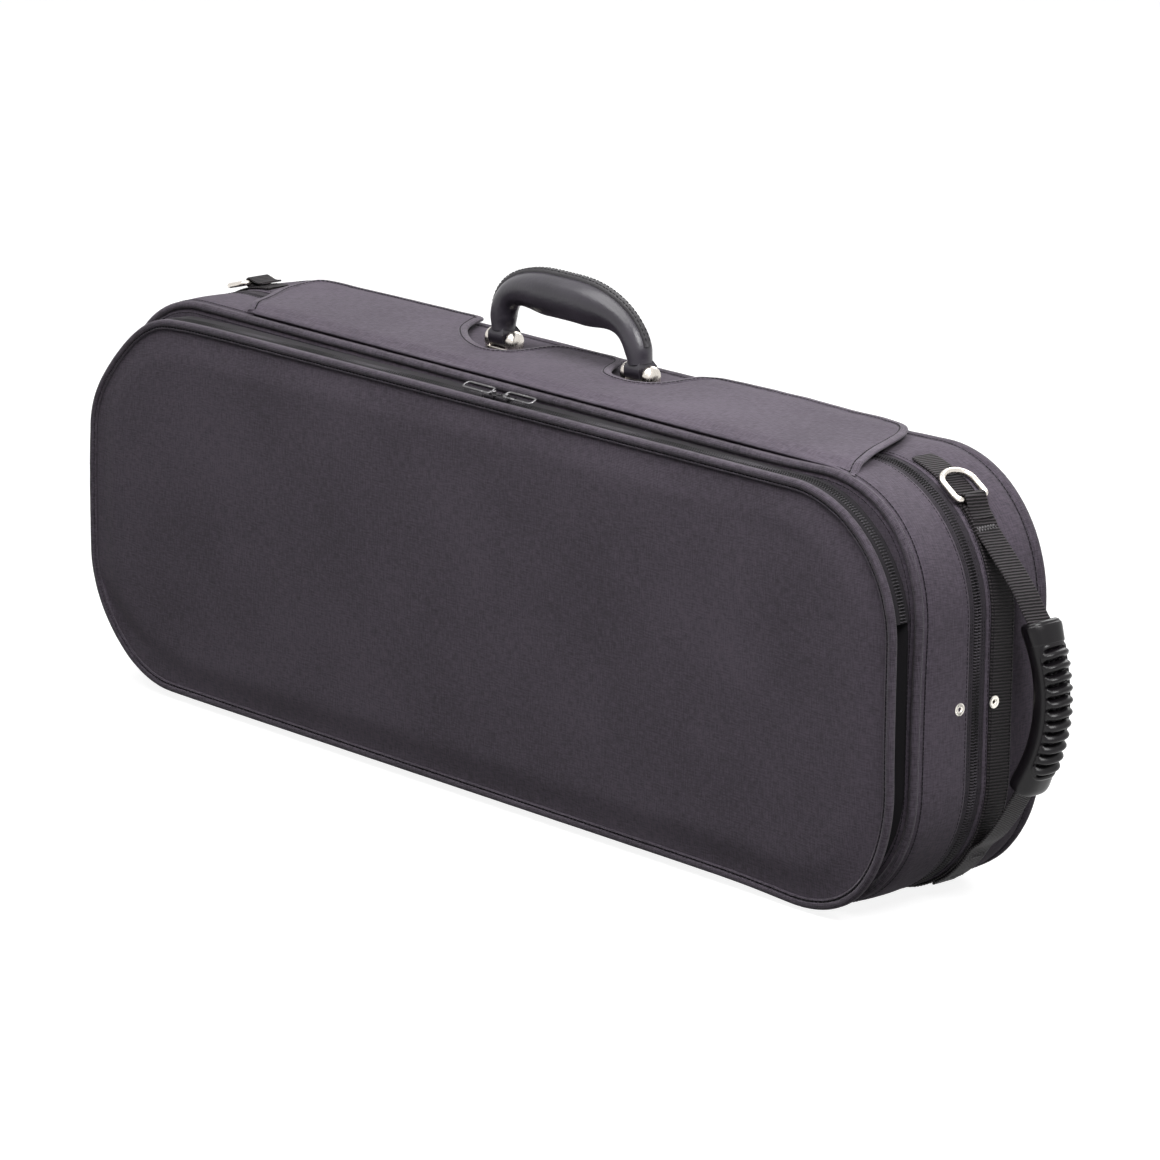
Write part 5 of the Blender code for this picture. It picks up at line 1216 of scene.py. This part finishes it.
def handleTab(name, x, own):
    # flat leather tongue round the pin
    wide, deep, bore = own["tabWidth"] / 2, own["tabDepth"] / 2, own["pinBore"]
    top = own["tabRise"] * 0.62
    underside = [math.pi + math.pi * k / 16 for k in range(17)]
    outer = [(deep * math.cos(a), deep * math.sin(a)) for a in underside]
    outer += [(deep * (1 - 0.06 * k / 4), top * k / 4) for k in range(1, 5)]
    outer += [(deep * (0.94 - 1.88 * k / 6), top) for k in range(1, 6)]
    outer += [(-deep * (1 - 0.06 * k / 4), top * k / 4) for k in range(4, 0, -1)]
    inner = [(bore * math.cos(a), bore * math.sin(a)) for a in
             (math.atan2(z, y) for y, z in outer)]
    edge = 0.0006
    rows = []
    for spread, ring, shrink in ((-0.92, inner, 0.0), (-0.92, outer, edge), (-1.0, outer, 0.0),
                                 (1.0, outer, 0.0), (0.92, outer, edge), (0.92, inner, 0.0)):
        row = []
        for y, z in ring:
            size = math.hypot(y, z)
            factor = (size - shrink) / size
            taper = 1.0 - 0.22 * softStep(z, 0.0030, top)
            row.append(Vector((x + wide * spread * taper, own["y"] + y * factor * taper,
                               own["pinZ"] + z * factor)))
        rows.append(row)
    sweptPiece(name, rows, leather, "handle", (), "leather", across=True, sharp=45)


def nickelHolder(name, x, own, pinNode, y, z, tabWidth):
    # a foot plate and two domed ears, with the pin through them
    reach, wide, seat = own["reach"], own["wide"], own["seat"]
    shoulder = own["height"] - wide
    waist = shoulder * 0.45      # the ear narrows to its tip above this level only
    gap = tabWidth / 2 + own["gap"]
    for way, label in ((-1, "Left"), (1, "Right")):
        rows = []
        for t, size in ((0.0, 0.86), (0.06, 0.95), (0.16, 1.0), (0.45, 1.0), (0.66, 0.95),
                        (0.80, 0.84), (0.90, 0.68), (0.97, 0.44), (1.0, 0.12)):
            along = x + way * (gap + (reach - gap) * t)
            row = []
            for a in turns(28):
                c, s = math.cos(a), math.sin(a)
                across, level = wide * c, shoulder + wide * s
                if s < 0:
                    across = wide * boxy(c, 0.55)
                    level = max(0.0, shoulder + shoulder * 1.25 * s)
                if level > waist:
                    level = waist + (level - waist) * size
                row.append(Vector((along, y + across * size, seat + level)))
            rows.append(row)
        sweptPiece(name + label, rows, nickel, "base", (name,), "nickel", sharp=60)
    plate = [[Vector((x + boxy(math.cos(a), 0.35) * (reach - 0.0012) * shrink,
                      y + boxy(math.sin(a), 0.5) * wide * 0.98 * shrink, seat + level))
              for a in turns(32)] for level, shrink in ((0.0, 1.0), (0.0010, 1.0), (0.0016, 0.95))]
    sweptPiece(name + "Plate", plate, nickel, "base", (), "nickel")
    pin = [Vector((x + t * own["pinReach"], y, z)) for t in (-1.0, -0.97, -0.6, 0.0, 0.6, 0.97, 1.0)]
    tubeAlong(name + "Pin", pin, own["pinRadius"], nickel, "base", (pinNode,), sides=20,
              closed=False)


handleGrip(handleSettings)
handleWelt(handleSettings)
for label, way in (("left", -1), ("right", 1)):
    x = handleSettings["x"] + way * handleSettings["span"] / 2
    handleTab("handleTab_" + label, x, handleSettings)
    nickelHolder("handle_chape_" + label, x, holderSettings, "handle_pin_" + label,
                 handleSettings["y"], handleSettings["pinZ"], handleSettings["tabWidth"])
print("carrying handle ready")


# webbing round the case's end, its stitched loops, the two rings and the end grip
webSettings = dict(width=0.0200, thick=0.0016, gap=0.0003, bandHead=79.0, bandFoot=-74.0,
                   patchHead=90.5, patchFoot=126.0, tip=0.0016, wave=0.00022)
ringSettings = dict(wire=0.0021, width=0.0260, height=0.0240, bend=0.0035, barOut=0.0051,
                    right=dict(angle=49.0, lean=8.0), left=dict(angle=105.0, lean=0.0))
loopSettings = dict(inner=0.0024, outer=0.0037, length=0.0178)


def cornerSpot(angle, out):
    x, z, turned = outlinePoints(caseShape, -out, angle, angle + 0.01)[0]
    return Vector((x, bandMiddle, z))


def flatProfile(width, thick, edge=0.0011):
    # webbing's section: (out, sideways), with thin rounded selvedges
    w, t = width / 2, thick / 2
    half = [(0.0, w), (t * 0.72, w - edge * 0.25), (t, w - edge), (t * 0.96, w - 2.2 * edge),
            (t, w * 0.55), (t, 0.0)]
    other = [(a, -b) for a, b in reversed(half[:-1])]
    return half + other + [(-a, b) for a, b in reversed(other[:-1])] + [
        (-a, b) for a, b in reversed(half[1:])]


def webStrip(name, path, outs, own, body, nodes=(), tip=0.0, wave=0.0):
    # a length of webbing, its cut tip a little narrower
    profile = flatProfile(own["width"], own["thick"])
    rows, run = [], 0.0
    for k, point in enumerate(path):
        run += (point - path[max(k - 1, 0)]).length
        narrow = min(1.0, 0.86 + 0.14 * run / tip) if tip else 1.0
        lift = wave * softNoise(point, 0.018, 5.0)
        rows.append([point + outs[k] * (a + lift) + Vector((0, b * narrow, 0))
                     for a, b in profile])
    return sweptPiece(name, rows, webbing, body, nodes, "webbing")


def bandPath(start, end, out):
    ways = outlineWays(caseShape, -out, start=min(start, end), end=max(start, end), step=0.004,
                       cornerSteps=40)
    if start > end:
        ways.reverse()
    return [Vector((x, bandMiddle, z)) for x, z, way in ways], [way for x, z, way in ways]


def crossStitches(name, path, outs, spot, width, lift):
    # a zigzag row sewn across the webbing
    flow = runAt(path, spot)
    line = [path[spot] + Vector((0, (k / 14 - 0.5) * width, 0)) + outs[spot] * lift
            + flow * (0.0013 if k % 2 else -0.0013) for k in range(15)]
    stitchRow(name + str(spot), line, [outs[spot]] * 15, threadGrey, "base", 0.0019, 0.0018,
              0.00050)


def ringLoop(name, angle, own):
    # the webbing comes up, turns round the ring's bar and is sewn down behind itself
    centre, out = cornerSpot(angle, ringSettings["barOut"]), outwardOf(angle)
    along = Vector((-out.z, 0, out.x))
    middle = (own["inner"] + own["outer"]) / 2
    thick = own["outer"] - own["inner"]
    seat = -0.0031 + thick / 2
    path = [centre - along * 0.0150 + out * (seat + 0.0002),
            centre - along * 0.0110 + out * (seat + 0.0006),
            centre - along * 0.0072 + out * (seat + 0.0019)]
    path += [centre + along * a + out * b
             for a, b in arc(0.0, 0.0, middle, range(128, -119, -13))]
    path.append(centre - along * 0.0042 + out * (seat + 0.0001))
    path = smoothPath(path, 2)
    profile = flatProfile(own["length"], thick, 0.0008)
    rows = []
    for k, point in enumerate(path):
        run = runAt(path, k)
        rows.append([point + Vector((-run.z, 0, run.x)) * a + Vector((0, b, 0))
                     for a, b in profile])
    sweptPiece(name, rows, webbing, "base", (), "webbing")


def dRing(side, own):
    centre = cornerSpot(own[side]["angle"], own["barOut"])
    turn = math.radians(own[side]["angle"] + 90.0 + own[side]["lean"])
    along = Vector((math.cos(turn), 0, math.sin(turn)))
    out = along.cross(Vector((0, 1, 0))).normalized()
    wide, bend, wire = own["width"] / 2, own["bend"], own["wire"]
    squash = 0.8      # the bow is a little flatter than round
    raw = [(-wide + bend, 0.0), (-wide * 0.3, 0.0), (wide * 0.3, 0.0), (wide - bend, 0.0)]
    raw += arc(wide - bend, bend, bend, (-60, -35, -8))
    raw += arc(0.0, own["height"] - squash * wide, wide, range(8, 173, 12), squash)
    raw += arc(-wide + bend, bend, bend, (188, 215, 240))
    path = evenPath([centre + Vector((0, a, 0)) + along * b for a, b in raw], 110, True)
    rows = []
    for k, point in enumerate(path):
        inwards = runAt(path, k, closed=True).cross(out).normalized()
        rows.append([point + inwards * wire * math.cos(a) + out * wire * 0.93 * math.sin(a)
                     for a in turns(16)])
    name = "d_ring_" + side
    sweptPiece(name + "Wire", rows, nickel, "ring_" + side, (name,), "nickel", across=True,
               sharp=180)


def webbingRound(own):
    thick = own["thick"]
    out = own["gap"] + thick / 2
    path, outs = bandPath(own["bandHead"], own["bandFoot"], out)
    webStrip("endBand", path, outs, own, "base", ("end_web_band",), own["tip"], own["wave"] * 0.4)
    for label, side in (("Front", -1), ("Rear", 1)):
        line = [p + Vector((0, side * (own["width"] / 2 - 0.0016), 0)) for p in path[6:]]
        stitchRow("bandStitches" + label, line, outs[6:], threadBlack, "base", 0.0030, 0.0021,
                  0.00026, sink=-thick / 2)
    patch, patchOuts = bandPath(own["patchHead"], own["patchFoot"], out)
    webStrip("ringPatch", patch, patchOuts, own, "base", ("left_web_patch",), own["tip"])
    ringLoop("ringLoopRight", ringSettings["right"]["angle"], loopSettings)
    ringLoop("ringLoopLeft", ringSettings["left"]["angle"], loopSettings)
    for label, spot in (("A", 3), ("B", len(patch) - 4)):
        crossStitches("patchStitches" + label, patch, patchOuts, spot, own["width"] * 0.8,
                      thick / 2)


gripSettings = dict(top=Vector((0.4322, 0.0155, 0.1960)), foot=Vector((0.4265, 0.0155, 0.0880)),
                    bow=0.0150, length=0.110, depth=0.0100, width=0.0110, flare=0.0142,
                    girth=0.0115, stations=300, sides=72, endRound=0.055, endDraw=0.0022, ribs=11,
                    ribFrom=0.155, ribTo=0.855, ribHeight=0.0026, gapDepth=0.0026,
                    channelAngle=60.0, channelCorner=0.0070, rim=0.0007, collar=0.0006,
                    collarEnd=0.128, socketWide=0.0112, socketDeep=0.0034, socketDrop=0.0060)


def gripPath(part, own):
    point = own["top"].lerp(own["foot"], part)
    return point + Vector((own["bow"] * math.sin(math.pi * part), 0, 0))


def gripLift(part, angle, own):
    # ribs across a rimmed channel on the outer side
    pitch = (own["ribTo"] - own["ribFrom"]) / own["ribs"]
    middle = (own["ribFrom"] + own["ribTo"]) / 2
    halfLong = (own["ribTo"] - own["ribFrom"]) / 2 * own["length"] + 0.0012
    halfWide = math.radians(own["channelAngle"]) * own["girth"]
    corner = own["channelCorner"]
    dx = abs(part - middle) * own["length"] - (halfLong - corner)
    dy = abs(angle) * own["girth"] - (halfWide - corner)
    distance = math.hypot(max(dx, 0), max(dy, 0)) + min(max(dx, dy), 0) - corner
    inside = softStep(-distance, -0.0002, 0.0013)
    bead = math.exp(-((distance - 0.0006) / 0.0008) ** 2)
    phase = (part - own["ribFrom"]) / pitch + 0.07 * math.sin(2.4 * angle + 0.6)
    wave = (0.5 - 0.5 * math.cos(2 * math.pi * phase)) ** 0.38
    taper = max(0.0, math.cos(angle)) ** 0.5
    rib = wave * (own["ribHeight"] * taper + own["gapDepth"] * (0.55 + 0.45 * taper))
    collar = own["collar"] * softStep(own["collarEnd"] - part, 0.0, 0.006)
    return inside * (rib - own["gapDepth"]) + bead * own["rim"] + collar


def gripFrame(part, own, drop):
    run = (gripPath(part + 0.01, own) - gripPath(part - 0.01, own)).normalized()
    return gripPath(part, own) + run * drop, Vector((-run.z, 0, run.x))


def gripRing(part, own, shrink=0.0, drop=0.0):
    centre, out = gripFrame(part, own, drop)
    ends = abs(2 * part - 1) ** 3
    wide = own["width"] + (own["flare"] - own["width"]) * ends - shrink
    deep = own["depth"] - shrink
    row = []
    for a in turns(own["sides"], 0.5):
        spin = (a + math.pi) % (2 * math.pi) - math.pi
        c, s = boxy(math.cos(a), 0.80), boxy(math.sin(a), 0.80)
        lift = gripLift(part, spin, own) if 0.02 < part < 0.98 else 0.0
        thin = 0.0014 * softStep(abs(2 * part - 1), 0.0, 0.8) * (1 - ends) if c < 0 else 0.0
        up = (deep - thin) * c + lift * max(0.0, math.cos(a)) ** 0.3
        across = (wide + lift * abs(math.sin(a)) * (c > 0)) * s
        row.append(centre + out * up + Vector((0, across, 0)))
    return row


def gripMouth(part, way, own):
    # the slot that the strap goes into, from its bottom out to the grip's end face
    rings = []
    for drop, wider in ((own["socketDrop"], 0.0), (0.0010, 0.0), (0.0002, 0.0005)):
        centre, out = gripFrame(part, own, way * drop)
        deep, wide = own["socketDeep"] + wider, own["socketWide"] + wider
        rings.append([centre + out * deep * boxy(math.cos(a), 0.45)
                      + Vector((0, wide * boxy(math.sin(a), 0.45), 0))
                      for a in turns(own["sides"], 0.5)])
    return rings + [gripRing(part, own, 0.0030, way * -0.0001),
                    gripRing(part, own, 0.0023, way * 0.0002)]


def endGrip(own):
    rows = gripMouth(0.0, 1, own)
    for k in range(own["stations"] + 1):
        part = k / own["stations"]
        if 0.006 <= part <= 0.994:
            near = min(1.0, min(part, 1 - part) / own["endRound"])
            rows.append(gripRing(part, own, own["endDraw"] * (1 - math.sqrt(near * (2 - near)))))
    rows += reversed(gripMouth(1.0, -1, own))
    sweptPiece("endGrip", rows, gripRubber, "side_handle", ("end_grip",), "rubber", sharp=80)


# where each strap is sewn to the case, runs free (from the grip's end) and enters the grip
strapSettings = dict(
    lift=0.0030, width=0.0200, thick=0.0016,
    upper=dict(sewn=(47.0, 44.0, 39.0, 34.0), root="top", into=(0.015, 0.050), stitched=(7, 24),
               free=((-0.0300, 0.0330), (-0.0145, 0.0175), (-0.0040, 0.0040))),
    lower=dict(sewn=(-60.0, -51.0, -42.0, -33.0), root="foot", into=(0.985, 0.950),
               stitched=(6, 22),
               free=((-0.0280, -0.0400), (-0.0165, -0.0255), (-0.0060, -0.0090))))


def endStrap(which, settings):
    own = settings[which]
    sewn = [cornerSpot(angle, settings["lift"]) for angle in own["sewn"]]
    root = gripSettings[own["root"]]
    free = [Vector((root.x + dx, bandMiddle, root.z + dz)) for dx, dz in own["free"]]
    path = smoothPath(sewn + free + [gripPath(part, gripSettings) for part in own["into"]], 9)
    outs = []
    for k in range(len(path)):
        run = runAt(path, k)
        out = Vector((run.z, 0, -run.x))
        outs.append(out if out.x > 0 or (which == "lower" and out.z < 0) else -out)
    name = "end_strap_" + which
    piece = webStrip(name + "Webbing", path, outs, settings, None, (name,), wave=0.0003)
    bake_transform(piece)
    for spot in own["stitched"]:
        crossStitches(name + "Stitches", path, outs, spot, settings["width"] * 0.84,
                      settings["thick"] / 2)


def stayEyelet(name, body, nodeName):
    # rolled eyelet: its washer, the raised ring and the hole
    low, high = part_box(nodeName)
    centre = Vector((high.x, (low.y + high.y) / 2, (low.z + high.z) / 2))
    outer, deep, shank = (high.z - low.z) / 2 * 0.95, high.x - low.x, 0.0021
    profile = [(-deep, shank), (-0.0009, shank), (-0.0006, outer - 0.0001), (-0.0002, outer),
               (0.0, outer - 0.0005), (0.0001, outer * 0.74), (0.0, outer * 0.52),
               (-0.0002, outer * 0.40), (-0.0007, outer * 0.33), (-0.0018, outer * 0.31),
               (-deep, outer * 0.31)]
    rows = [[centre + Vector((a, r * math.cos(t), r * math.sin(t))) for t in turns(36)]
            for a, r in profile]
    sweptPiece(name, rows, eyeletNickel, body, (nodeName,), "nickel", across=True, sharp=60)


webbingRound(webSettings)
for side in ("right", "left"):
    dRing(side, ringSettings)
endGrip(gripSettings)
endStrap("upper", strapSettings)
endStrap("lower", strapSettings)
stayEyelet("baseEyelet", "base", "base_stay_rivet")
stayEyelet("lidEyelet", "lid", "lid_stay_rivet")
print("end fittings ready")


# soft inside: plush over foam, with the CAD solids as patterns for the covers
softSettings = dict(
    well=dict(node="well_foam", voxel=0.0055, pressure=4.0, puff=0.0022, fill=0.9),
    scroll=dict(node="scroll_foam", voxel=0.0055, pressure=4.0, puff=0.0022, fill=0.9),
    lowerPad=dict(node="lower_block_pad", voxel=0.0030, pressure=4.0, puff=0.0030, fill=0.8),
    upperPad=dict(node="upper_block_pad", voxel=0.0030, pressure=4.0, puff=0.0030, fill=0.8),
    cradle=dict(node="neck_cradle", voxel=0.0022, pressure=3.0, puff=0.0012, fill=0.9))
floorY = 0.0478      # how deep the foam goes
puffFrames = 20


def insideWall(point, inset):
    # distance from a point to the inside of the case's wall
    dx = max(0.0, abs(point.x) - (caseLength / 2 - cornerRadius))
    dz = max(0.0, cornerRadius - point.z, point.z - (caseHeight - cornerRadius))
    if dx > 0 and dz > 0:
        return cornerRadius - inset - math.hypot(dx, dz)
    return min(caseLength / 2 - abs(point.x), point.z, caseHeight - point.z) - inset


def isHeld(point, own):
    # cloth is glued at the walls, the floor and round the compartment
    x, y, z = point
    offMiddle = abs(z - caseHeight / 2)
    if insideWall(point, 0.0076) < 0.0025 or y > floorY - 0.004:
        return True
    if 0.012 < x < 0.228 and 0.207 < z < 0.269 and y > 0.0015:      # accessory box
        return True
    if 0.030 < x < 0.080 and offMiddle < 0.034 and y > 0.004:       # under the neck
        return own["node"] != "neck_cradle" or offMiddle > 0.024
    if abs(abs(x) - 0.220) < 0.038 and z < 0.020:                   # over the hinges
        return True
    if x > 0.375 and offMiddle < 0.02 and y < 0.03:                 # by the stay's rivet
        return True
    return abs(x - 0.0060) < 0.004                                  # where the foams meet


def puffCover(obj, own, starts):
    group = obj.vertex_groups.new(name="glued")
    group.add([k for k, p in enumerate(starts) if isHeld(p, own)], 1.0, "REPLACE")
    cloth = obj.modifiers.new("cloth", "CLOTH")
    settings = cloth.settings
    settings.quality = 4
    settings.mass = 0.3
    settings.tension_stiffness = settings.compression_stiffness = 15.0
    settings.shear_stiffness = 5.0
    settings.bending_stiffness = 0.5
    settings.use_pressure = True
    settings.uniform_pressure_force = own["pressure"]
    settings.effector_weights.gravity = 0.0
    settings.vertex_group_mass = "glued"
    cloth.collision_settings.use_collision = False
    cloth.point_cache.frame_start = 1
    cloth.point_cache.frame_end = puffFrames
    scene = bpy.context.scene
    for step in range(1, puffFrames + 1):
        scene.frame_set(step)
    useModifiers(obj)
    scene.frame_set(1)


def sewCover(label, own):
    obj = bpy.data.objects.new(label + "Plush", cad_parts[own["node"]].data.copy())
    bpy.context.scene.collection.objects.link(obj)
    remesh = obj.modifiers.new("remesh", "REMESH")
    remesh.mode = "VOXEL"
    remesh.voxel_size = own["voxel"]
    remesh.use_smooth_shade = True
    useModifiers(obj)
    relax = obj.modifiers.new("relax", "SMOOTH")
    relax.factor = 0.5
    relax.iterations = 3
    useModifiers(obj)
    starts = [v.co.copy() for v in obj.data.vertices]
    puffCover(obj, own, starts)
    low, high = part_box(own["node"])
    for vert, start in zip(obj.data.vertices, starts):     # no fuller than its puff
        shift = vert.co - start
        if shift.length > own["puff"]:
            shift *= own["puff"] / shift.length
        place = start + shift
        for axis in (0, 2):
            place[axis] = max(low[axis], min(high[axis], place[axis]))
        place.y = min(high.y, max(low.y - own["puff"] * 0.4, place.y))
        vert.co = place
    finer = obj.modifiers.new("finer", "SUBSURF")
    finer.levels = finer.render_levels = 1
    useModifiers(obj)
    obj.data.materials.clear()
    obj.data.materials.append(foamPlush)
    obj.data.shade_smooth()
    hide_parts(own["node"])
    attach(obj, "base")


for label, own in softSettings.items():
    sewCover(label, own)
print("foam covers ready")


# lid lining with its cord, the neck tie, the bow's tip loops and the lid's stay
liningSettings = dict(inset=0.0138, rise=0.0011, cord=0.0011)


def lidLining(own):
    low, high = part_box("lid_lining")
    shape = dict(length=high.x - low.x, height=high.z - low.z, radius=cornerRadius - own["inset"],
                 bottom=low.z)
    rows = [[Vector((x, low.y + lift, z)) for x, z, angle in
             outlinePoints(shape, inset, step=0.008)]
            for inset, lift in ((0.0004, 0.0001), (0.0001, 0.0009))]
    for row in towardsMiddle(shape, 0.0004, 16, step=0.008):
        faceRow = []
        for x, z, part in row:
            point = Vector((x, high.y - 0.0003, z))
            lift = own["rise"] * softStep(part, 0.0, 0.12)
            lift += 0.0005 * softStep(part, 0.0, 0.2) * softNoise(point, 0.07, 4.0)
            faceRow.append(point + Vector((0, lift, 0)))
        rows.append(faceRow)
    mesh = gridMesh("lidLiningPlush", rows)
    mergeClose(mesh)
    piece = addPiece("lidLiningPlush", mesh, plush, "lid", ("lid_lining",))
    mendMesh(mesh, fillHoles=True)
    cord = [Vector((x, high.y + 0.0002, z)) for x, z, angle in
            outlinePoints(shape, 0.0006, step=0.006)]
    tubeAlong("lidLiningCord", cord, own["cord"], plush, "lid", (), sides=10,
              ripple=0.06, rippleSize=0.004)


def neckTie():
    # padded tie over the neck, with its two seams
    low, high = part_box("neck_strap")
    middle = (low + high) / 2
    width, thick = high.x - low.x, high.y - low.y
    shares = [0.0, 0.03, 0.08] + [0.08 + 0.84 * k / 18 for k in range(1, 18)] + [0.92, 0.97, 1.0]
    path = [Vector((middle.x, middle.y, high.z - t * (high.z - low.z))) for t in shares]
    rows = []
    for point in path:
        edge = min(point.z - low.z, high.z - point.z)
        wide = width / 2 * (0.62 + 0.38 * softStep(edge, 0.0, 0.006) ** 0.5)
        rows.append([point + Vector((b, -a, 0))
                     for a, b in flatProfile(2 * wide, thick * 0.96, 0.0016)])
    tie = sweptPiece("neckTie", rows, plush, "neck_strap_body", ("neck_strap",), "plush")
    for label, side in (("Left", -1), ("Right", 1)):
        line = [p + Vector((side * (width / 2 - 0.0026), 0, 0)) for p in path[4:-4]]
        stitchRow("neckTieStitches" + label, line, [Vector((0, -1, 0))] * len(line), threadGrey,
                  "neck_strap_body", 0.0032, 0.0022, 0.00026, sink=-thick * 0.46)


def tipLoop(name, thick=0.0012, inset=0.0007):
    # elastic ribbon arched over the bow's tip, with its two ends sewn down flat
    low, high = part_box(name)
    middle = (low + high) / 2
    rise, wide = high.y - low.y - 2 * inset, (high.z - low.z) / 2 - inset
    path = [Vector((middle.x, low.y + inset + rise * math.sin(a) ** 0.8,
                    middle.z - wide * math.cos(a))) for a in (math.pi * k / 32 for k in range(33))]
    rows = []
    for k, point in enumerate(path):
        run = runAt(path, k)
        rows.append([point + Vector((0, run.z, -run.y)) * a + Vector((b, 0, 0))
                     for a, b in flatProfile(high.x - low.x, thick, 0.0007)])
    sweptPiece(name + "Elastic", rows, elastic, "lid", (name,), "webbing")


staySettings = dict(width=0.0080, bend=0.0048, elbow=0.006, farY=-0.0220, skin=0.0004,
                    wallGap=0.0087, startY=0.0085)


def foldedStay(own):
    # flat tape from rivet to rivet, folded down inside the end wall
    width, elbow, farY = own["width"], own["elbow"], own["farY"]
    nearY = zipPlane - 0.0005 - width / 2
    level = caseHeight / 2 - 0.0015
    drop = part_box("lid_stay_ribbon")[0].z + own["bend"] + width / 2
    quarters = (0.25, 0.5, 0.75, 1.0)
    path = [(own["startY"], level), (0.0040, level), (nearY + elbow, level - 0.0004)]
    path += [(nearY + elbow - elbow * math.sin(math.radians(a)),
              level - elbow + elbow * math.cos(math.radians(a))) for a in (20, 45, 70, 90)]
    path += [(nearY, level - elbow - (level - elbow - drop) * t) for t in quarters]
    path += arc((nearY + farY) / 2, drop, abs(nearY - farY) / 2, range(-30, -181, -30))
    path += [(farY, drop + (level - 0.004 - drop) * t) for t in quarters]
    line = smoothPath([Vector((0, y, z)) for y, z in path], 3)
    skin = own["skin"]
    profile = [(-1, 0.0), (-0.92, skin), (0, skin), (0.92, skin), (1, 0.0), (0.92, -skin),
               (0, -skin), (-0.92, -skin)]
    rows = []
    for k, point in enumerate(line):
        run = runAt(line, k)
        side = Vector((0, -run.z, run.y)) * width / 2
        row = []
        for across, deep in profile:
            spot = point + side * across
            below = max(0.0, cornerRadius - spot.z)
            wall = (cornerRadius - own["wallGap"]) ** 2 - below ** 2
            x = caseLength / 2 - cornerRadius + math.sqrt(max(wall, 1e-6)) - 0.0005
            row.append(Vector((x + deep, spot.y, spot.z)))
        rows.append(row)
    tape = sweptPiece("lidStayTape", rows, elastic, None, ("lid_stay_ribbon",), "webbing")
    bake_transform(tape)


lidLining(liningSettings)
neckTie()
for label in ("lower", "upper"):
    tipLoop("bow_tip_loop_" + label)
foldedStay(staySettings)
print("lid lining, ties and loops ready")


# zip pulls: open loops of flat wire on the sliders
pullSettings = dict(wire=0.00078, flat=0.00055, segments=72, roundness=0.78,
                    main=dict(tilt=0.0, lift=0.0), pocket=dict(tilt=0.38, lift=0.0008))


def zipPull(group, label, own):
    name = group + "_pull_" + label
    low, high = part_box(name)
    middle = (low + high) / 2
    wire = own["wire"]
    wide = (high.y - low.y) / 2 - wire
    corner = wide * own["roundness"]
    longSide, shortSide = (high.x - low.x) / 2 - wire - corner, wide - corner
    raw = []
    for cx, cy, first in ((1, 1, 0), (-1, 1, 90), (-1, -1, 180), (1, -1, 270)):
        raw += [Vector((x, y, middle.z)) for x, y in
                arc(middle.x + cx * longSide, middle.y + cy * shortSide, corner,
                    range(first, first + 91, 15))]
    path = evenPath(raw, own["segments"], True)
    turn = Matrix.Rotation(own[group]["tilt"], 3, "X")
    up = Vector((0, 0, own[group]["lift"]))
    rows = []
    for k, point in enumerate(path):
        run = runAt(path, k, closed=True)
        side = Vector((-run.y, run.x, 0))
        ring = [point + side * wire * math.cos(a) + Vector((0, 0, own["flat"] * math.sin(a)))
                for a in turns(12)]
        rows.append([middle + up + turn @ (p - middle) for p in ring])
    sweptPiece(name + "Loop", rows, gunmetal, group + "_zip_pull_" + label, (name,),
               "black_metal", across=True)


for group in ("main", "pocket"):
    for label in ("left", "right"):
        zipPull(group, label, pullSettings)
print("zip pulls ready")


# finishes of the CAD pieces that stay as they are
finishOf = dict(base_shell=board, lid_shell=board, accessory_box=foamPlush,
                accessory_lid=foamPlush, bow_spinner_lower=leather, bow_spinner_upper=leather)
finishOf.update({"hinge_" + leaf + "_leaf_" + end: blackMetal
                 for leaf in ("base", "lid") for end in ("left", "right")})
finishOf.update({group + "_slider_" + end: gunmetal
                 for group in ("main", "pocket") for end in ("left", "right")})


def finishPieces(table):
    for name, material in table.items():
        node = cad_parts[name]
        if node.hide_render:
            continue
        if not node.data.materials:
            node.data.materials.append(material)
        for slot in node.material_slots:
            slot.material = material


finishPieces(finishOf)
print("CAD pieces finished")


print("all pieces ready")
